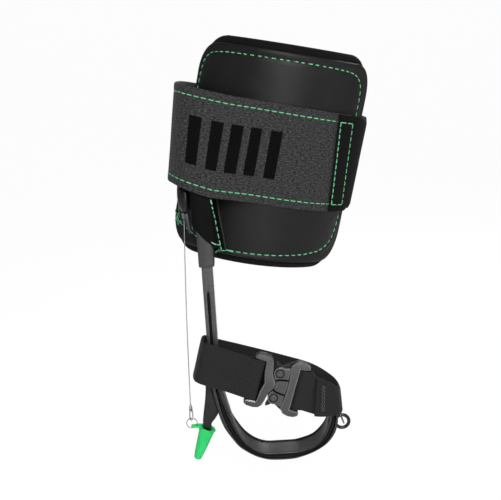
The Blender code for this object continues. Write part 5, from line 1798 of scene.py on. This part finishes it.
def rounded(poly, radii):
    """Fillet each corner of a closed 2-D outline by its radius."""
    out = []
    n = len(poly)
    for i in range(n):
        p0, p1, p2 = (Vector((*poly[i - 1], 0)), Vector((*poly[i], 0)), Vector((*poly[(i + 1) % n], 0)))
        r = radii[i] if isinstance(radii, (list, tuple)) else radii
        d0, d1 = (p0 - p1), (p2 - p1)
        l0, l1 = d0.length, d1.length
        d0.normalize(), d1.normalize()
        cosang = max(-1, min(1, d0.dot(d1)))
        ang = math.acos(cosang)
        if r <= 0 or ang > math.radians(172):
            out.append((p1.x, p1.y))
            continue
        cut = min(r / math.tan(ang / 2), l0 * 0.45, l1 * 0.45)
        a, b = p1 + d0 * cut, p1 + d1 * cut
        steps = max(2, int((PI - ang) / 0.35))
        for k in range(steps + 1):
            f = k / steps
            q = a * (1 - f) ** 2 + p1 * (2 * f * (1 - f)) + b * f ** 2
            out.append((q.x, q.y))
    return out


def part_tones(ob, first=1):
    """Painted highlight on the chamfers and painted shade on the side walls, told apart by how far each face turns from
    the front.
    """
    ob.data.materials.append(BUCKLE_HIGHLIGHT)
    ob.data.materials.append(BUCKLE_DARK_AND_SHADE)
    for f in ob.data.polygons:
        n_y = -f.normal.y
        if f.center.y / MM > -28.0:
            f.material_index = 0
        elif 0.30 < n_y < 0.90 and f.center.y / MM < -34.4:
            f.material_index = first
        elif abs(n_y) <= 0.30:
            f.material_index = first + 1


def creased_plate(outline, yf, yb, slope, chamfer, name, mat):
    """Plate with a chamfered front whose two halves fall away from a ridge at t = 0."""
    bm = bmesh.new()
    n = len(outline)
    # inward offset for the chamfer
    off = []
    area2 = sum(outline[i][0] * outline[(i + 1) % n][1] - outline[(i + 1) % n][0] * outline[i][1] for i in range(n))
    sg = 1 if area2 > 0 else -1
    for i in range(n):
        p0, p1, p2 = Vector(outline[i - 1]), Vector(outline[i]), Vector(outline[(i + 1) % n])
        e0, e1 = (p1 - p0).normalized(), (p2 - p1).normalized()
        n0, n1 = Vector((-e0.y, e0.x)) * sg, Vector((-e1.y, e1.x)) * sg
        m_ = (n0 + n1)
        if m_.length < 1e-6:
            m_ = n0
        m_.normalize()
        k = 1.0 / max(0.5, m_.dot(n0))
        off.append(p1 + m_ * chamfer * k)
    base = [bm.verts.new(bxyz(p, yb)) for p in outline]
    mid = [bm.verts.new(bxyz(p, yf + chamfer * 0.75 + slope * abs(p[1]))) for p in outline]
    top = [bm.verts.new(bxyz(p, yf + slope * abs(p[1]))) for p in off]
    for j in range(n):
        k = (j + 1) % n
        bm.faces.new((base[j], base[k], mid[k], mid[j]))
        bm.faces.new((mid[j], mid[k], top[k], top[j]))
    zero = [j for j in range(n) if abs(outline[j][1]) < 1e-6]
    a, b = zero[0], zero[1]
    if a > b:
        a, b = b, a

    def cap(verts, pts2, ids):
        for tri in tessellate_polygon([[Vector((pts2[j][0], pts2[j][1], 0.0)) for j in ids]]):
            try:
                bm.faces.new([verts[ids[q]] for q in tri])
            except ValueError:
                pass
    cap(base, outline, list(range(n)))
    cap(top, off, list(range(a, b + 1)))
    cap(top, off, list(range(b, n)) + list(range(0, a + 1)))
    return make(name, bm, mat, smooth=False)


Y_F, Y_B = -38.2, -27.4
Y_L0, Y_L1 = -34.1, -31.3
GP = 0.35


def outline_from(half, inner_end, r):
    """Closed outline from the upper half, with a ridge point on the inner side."""
    up_ = rounded_open(half, r)
    return up_ + [inner_end] + [(s, -t) for s, t in reversed(up_[1:])]


def rounded_open(pts, r):
    out = [pts[0]]
    for i in range(1, len(pts) - 1):
        tri = [pts[i - 1], pts[i], pts[i + 1]]
        p0, p1, p2 = (Vector((*q, 0)) for q in tri)
        d0, d1 = (p0 - p1), (p2 - p1)
        l0, l1 = d0.length, d1.length
        d0.normalize(), d1.normalize()
        ang = math.acos(max(-1, min(1, d0.dot(d1))))
        if ang > math.radians(174):
            out.append(pts[i])
            continue
        cut = min(r / math.tan(ang / 2), l0 * 0.45, l1 * 0.45)
        a, b = p1 + d0 * cut, p1 + d1 * cut
        for k in range(5):
            f = k / 4
            q = a * (1 - f) ** 2 + p1 * (2 * f * (1 - f)) + b * f ** 2
            out.append((q.x, q.y))
    out.append(pts[-1])
    return out


def finish_hard(ob, bevel_w=0.22, seg=2, angle=20, sharp=16):
    add_bevel(ob, bevel_w, seg, angle)
    ob.data.set_sharp_from_angle(angle=math.radians(sharp))


# tongue half
frame_half = [(-3.0, 0.0), (-8.8, 12.5), (-10.4, 22.0), (-12.2, 28.6), (-16.0, 32.8), (-22.0, 34.0),
              (-30.0, 33.2), (-33.8, 30.6), (-33.8, 27.2), (-30.4, 26.0), (-19.6, 25.4), (-18.6, 12.0)]
ol = outline_from(frame_half, (-15.9, 0.0), 2.2)
tongue = creased_plate(ol, Y_F - 0.4, Y_B, 0.13, 1.5, "buckle_tongue_body", BUCKLEM)
m_bar = make("bar_tool", turned([(0, -27.5), (BAR_R, -27.5), (BAR_R, 27.5), (0, 27.5)],
                                buck(M_BAR, 0, BAR_Y), bn, 32), BUCKLEM)
blade_t = make("blade_tool", prism([(-14.0, -8.0), (9.0, -8.0), (12.0, -5.5), (12.0, 5.5), (9.0, 8.0),
                                    (-14.0, 8.0)], bxyz, Y_L0 + 0.2, Y_L1 - 0.2), BUCKLEM)
boolean(tongue, [m_bar, blade_t], 'UNION')
finish_hard(tongue)
part_tones(tongue)
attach(tongue, "tongue")
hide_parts("buckle_tongue")

# dark sheet behind the strap's bar: a painted shadow in the tongue's window
shadow_sheet_half = [(-24.0, 0.0), (-24.0, 26.2), (-18.0, 26.2), (-17.4, 14.0), (-14.8, 0.0)]
shadow_sheet_outline = shadow_sheet_half + [(s, -t) for s, t in reversed(shadow_sheet_half[1:-1])]
ob = make("buckle_tongue_shadow_sheet", prism(shadow_sheet_outline, bxyz, -28.6, -27.6), BUCKLE_SHADOW, smooth=False)
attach(ob, "tongue")

# receiving half
arm_half = [(11.8, 0.0), (11.4, 12.0), (9.6, 22.0), (9.8, 27.4), (14.2, 32.6), (20.5, 34.4), (27.0, 34.0),
            (31.6, 31.6), (32.4, 27.6), (29.6, 26.2), (20.8, 25.4)]
ol = outline_from(arm_half, (20.4, 0.0), 2.0)
arm = creased_plate(ol, Y_F - 0.2, Y_B, 0.05, 1.6, "buckle_receiver", BUCKLEM)
f_bar = make("bar_tool", turned([(0, -27.5), (BAR_R, -27.5), (BAR_R, 27.5), (0, 27.5)],
                                buck(F_BAR, 0, BAR_Y), bn, 32), BUCKLEM)
boolean(arm, [f_bar], 'UNION')
mouth = make("mouth_tool", prism([(8.0, -8.6), (13.2, -8.6), (13.2, 8.6), (8.0, 8.6)], bxyz, Y_L0 - 0.2, Y_L1 + 0.2),
             BUCKLEM)
boolean(arm, [mouth], 'DIFFERENCE')
finish_hard(arm, 0.3, 2, 20, 16)
part_tones(arm)
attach(arm, "lower_frame")
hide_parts("buckle_body")
# back plate, braced out to the receiver's corners, in the dark coat that is also painted shade under the cover
plate_half = [(-1.6, 0.0), (-6.0, 9.0), (-8.1, 14.0), (-7.5, 18.6), (-4.6, 22.0), (0.0, 23.6), (6.0, 27.4),
              (13.0, 31.6)]
plate = make("buckle_back_plate", prism(mirrored(rounded_open(plate_half, 1.5)), bxyz, Y_L1 + GP, Y_B), BUCKLE_DARK_AND_SHADE,
             smooth=False)
add_bevel(plate, 0.5, 2, 30)
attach(plate, "lower_frame")

# cover with sunk slots, a bridge between them and a boss ring round each rivet
cov_half = [(-1.9, 0.0), (-4.2, 6.6), (-7.2, 11.4), (-8.3, 15.4), (-7.5, 19.2), (-5.0, 22.4), (-1.2, 23.4),
            (3.2, 22.8), (9.2, 24.4)]
cov = rounded_open(cov_half, 3.0)
ol = cov + [(11.2, 0.0)] + [(s, -t) for s, t in reversed(cov[1:])]
cover_b = creased_plate(ol, -37.5, Y_L0 - GP, 0.0, 1.2, "buckle_faceplate", BUCKLEM)
for sgn in (1, -1):
    up_line = smooth_path([(-5.2, 6.6), (-1.0, 8.6), (4.0, 9.6), (10.9, 10.3)], 5)
    lo_line = smooth_path([(10.9, 8.3), (4.0, 7.4), (-0.8, 6.3), (-3.2, 4.4)], 5)
    poly = [(s, t * sgn) for s, t in up_line + lo_line]
    cut = make("slit_tool", prism(poly, bxyz, -39.4, -35.4), BUCKLE_DARK_AND_SHADE)
    boolean(cover_b, [cut], 'DIFFERENCE')
    ring_cut = make("ring_tool", turned([(4.35, -39.0), (5.35, -39.0), (5.35, -36.0), (4.35, -36.0)],
                                        buck(-1.4, 15.4 * sgn, 0), (0, 1, 0), 48, hollow=True), BUCKLE_DARK_AND_SHADE)
    boolean(cover_b, [ring_cut], 'DIFFERENCE')
finish_hard(cover_b, 0.2, 2, 25)
part_tones(cover_b)
# painted shade on the sunk floors and on the side walls inside the slots and rings
cover_b.data.materials.append(BUCKLE_SHADOW)
for f in cover_b.data.polygons:
    y_c = f.center.y / MM
    if -37.3 < y_c < -35.0:
        if abs(f.normal.y) > 0.8 and y_c > -36.2:
            f.material_index = 3
        elif abs(f.normal.y) < 0.3:
            # side walls inside the slots and rings
            q = f.center / MM - BO
            s_c, t_c = q.dot(be), q.dot(bn)
            r_c = math.hypot(s_c + 1.4, abs(t_c) - 15.4)
            if abs(r_c - 4.85) < 0.75 or (-4.9 < s_c < 10.8 and 4.6 < abs(t_c) < 10.5 and r_c > 5.4):
                f.material_index = 3
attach(cover_b, "lower_frame")
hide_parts("buckle_cover")

for tag, sgn, body in (("upper", 1, "latch_a"), ("lower", -1, "latch_b")):
    lat = [(-4.4, 9.2), (2.4, 8.5), (6.4, 8.5), (7.4, 10.4), (4.8, 13.2), (2.6, 18.6), (-0.6, 21.0),
           (-3.0, 25.4), (-7.8, 28.6), (-8.6, 26.6), (-7.6, 21.8), (-6.0, 17.0)]
    lat = rounded([(s, t * sgn) for s, t in lat], 0.7)
    ob = make("press_latch_" + tag, prism(lat, bxyz, Y_L0, Y_L1), BUCKLE_DARK_AND_SHADE, smooth=False)
    add_bevel(ob, 0.35, 2, 30)
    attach(ob, body)
    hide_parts("latch_" + tag)
    base = buck(-1.4, 15.4 * sgn, 0)
    make("pivot_rivet_" + tag,
         turned([(0, -38.75), (1.1, -38.75), (1.4, -38.9), (2.6, -38.85), (3.3, -38.6), (3.75, -38.2), (3.9, -37.75),
                 (1.9, -37.7), (1.9, -27.05), (3.2, -27.05), (3.0, -26.5), (2.0, -26.25), (0, -26.2)],
                base, (0, 1, 0), 40), BUCKLEM, "lower_frame", ("latch_rivet_" + tag,))

# ===========================================================================
#  guard reel
# ===========================================================================
RX = (1, 0, 0)
RO = Vector((0, 18.0, 318.0))
reel_o = turned(
    [(0, -106.2), (3.4, -106.2), (3.8, -106.55), (5.4, -106.6), (5.8, -106.2), (8.0, -106.3), (11.0, -106.0),
     (14.0, -105.4), (16.4, -104.5), (18.2, -103.2), (19.4, -101.9), (20.0, -100.6), (20.0, -100.0), (19.8, -99.8),
     (18.3, -99.8), (18.3, -101.2), (16.8, -102.6), (12.0, -104.2), (0, -104.8)], RO, RX, 72, hollow=True)
make("reel_shell_outer", reel_o, GLOSS, "upper", ("reel_case_outer",))
make("reel_shell_inner", turned(
    [(0, -92.6), (16.0, -92.6), (17.8, -93.0), (19.0, -93.6), (19.7, -94.5), (20.0, -95.4), (20.0, -99.2),
     (19.8, -99.5), (18.3, -99.5), (18.3, -95.6), (17.6, -94.6), (0, -94.2)], RO, RX, 72, hollow=True),
    GLOSS, "upper", ("reel_case_inner",))
make("reel_mouth", turned([(0.9, -27.6), (1.4, -27.8), (2.0, -27.8), (2.4, -27.4), (2.6, -26.0), (2.9, -24.0),
                           (3.2, -20.9), (0.9, -20.9)], (-100.9, 18.0, 318.0), (0, 0, 1), 32, hollow=True), STEEL_DK,
     "upper", ("reel_nozzle",))
clip = [(330.0, -5.5), (336.5, -4.4), (338.5, -2.0), (338.5, 2.0), (336.5, 4.4), (330.0, 5.5), (300.0, 5.2),
        (288.0, 4.6), (279.0, 3.2), (276.4, 1.4), (276.0, 0.0), (276.4, -1.4), (279.0, -3.2), (288.0, -4.6),
        (300.0, -5.2)]
ob = make("reel_belt_clip", prism([(y + 18.0, z) for z, y in clip], lambda p, x: Vector((x, p[0], p[1])),
                                  -92.35, -91.2), STEEL_DK, smooth=False)
add_bevel(ob, 0.3, 2, 30)
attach(ob, "upper")
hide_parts("reel_clip")
# the clip's folded tail, flat towards the front
tail_o = rounded([(-99.6, 297.0), (-95.6, 298.0), (-93.4, 276.5), (-94.0, 273.6), (-95.6, 274.4), (-96.6, 277.0)], 0.8)
ob = make("reel_clip_tail", prism(tail_o, lambda p, y: Vector((p[0], y, p[1])), 7.6, 9.0), SLEEVEM, smooth=False)
add_bevel(ob, 0.35, 2, 30)
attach(ob, "upper")

# ===========================================================================
#  carried-over frame pieces keep their shape and get their finish
# ===========================================================================
for name, mat, bevel_w in (("pad_bracket", SLEEVEM, 0.8), ("reel_axle", STEEL, 0.0), ("reel_drum", GLOSS, 0.0),
                           ("reel_spring", STEEL_DK, 0.0), ("latch_spring_upper", STEEL, 0.0),
                           ("latch_spring_lower", STEEL, 0.0)):
    o = NODES[name]
    o.data.materials.clear()
    o.data.materials.append(mat)
    if bevel_w:
        wd = o.modifiers.new("weld", 'WELD')
        wd.merge_threshold = 0.00001
        bv = o.modifiers.new("edge", 'BEVEL')
        bv.width = bevel_w * MM
        bv.segments = 3
        bv.limit_method = 'ANGLE'
        bv.angle_limit = math.radians(40)
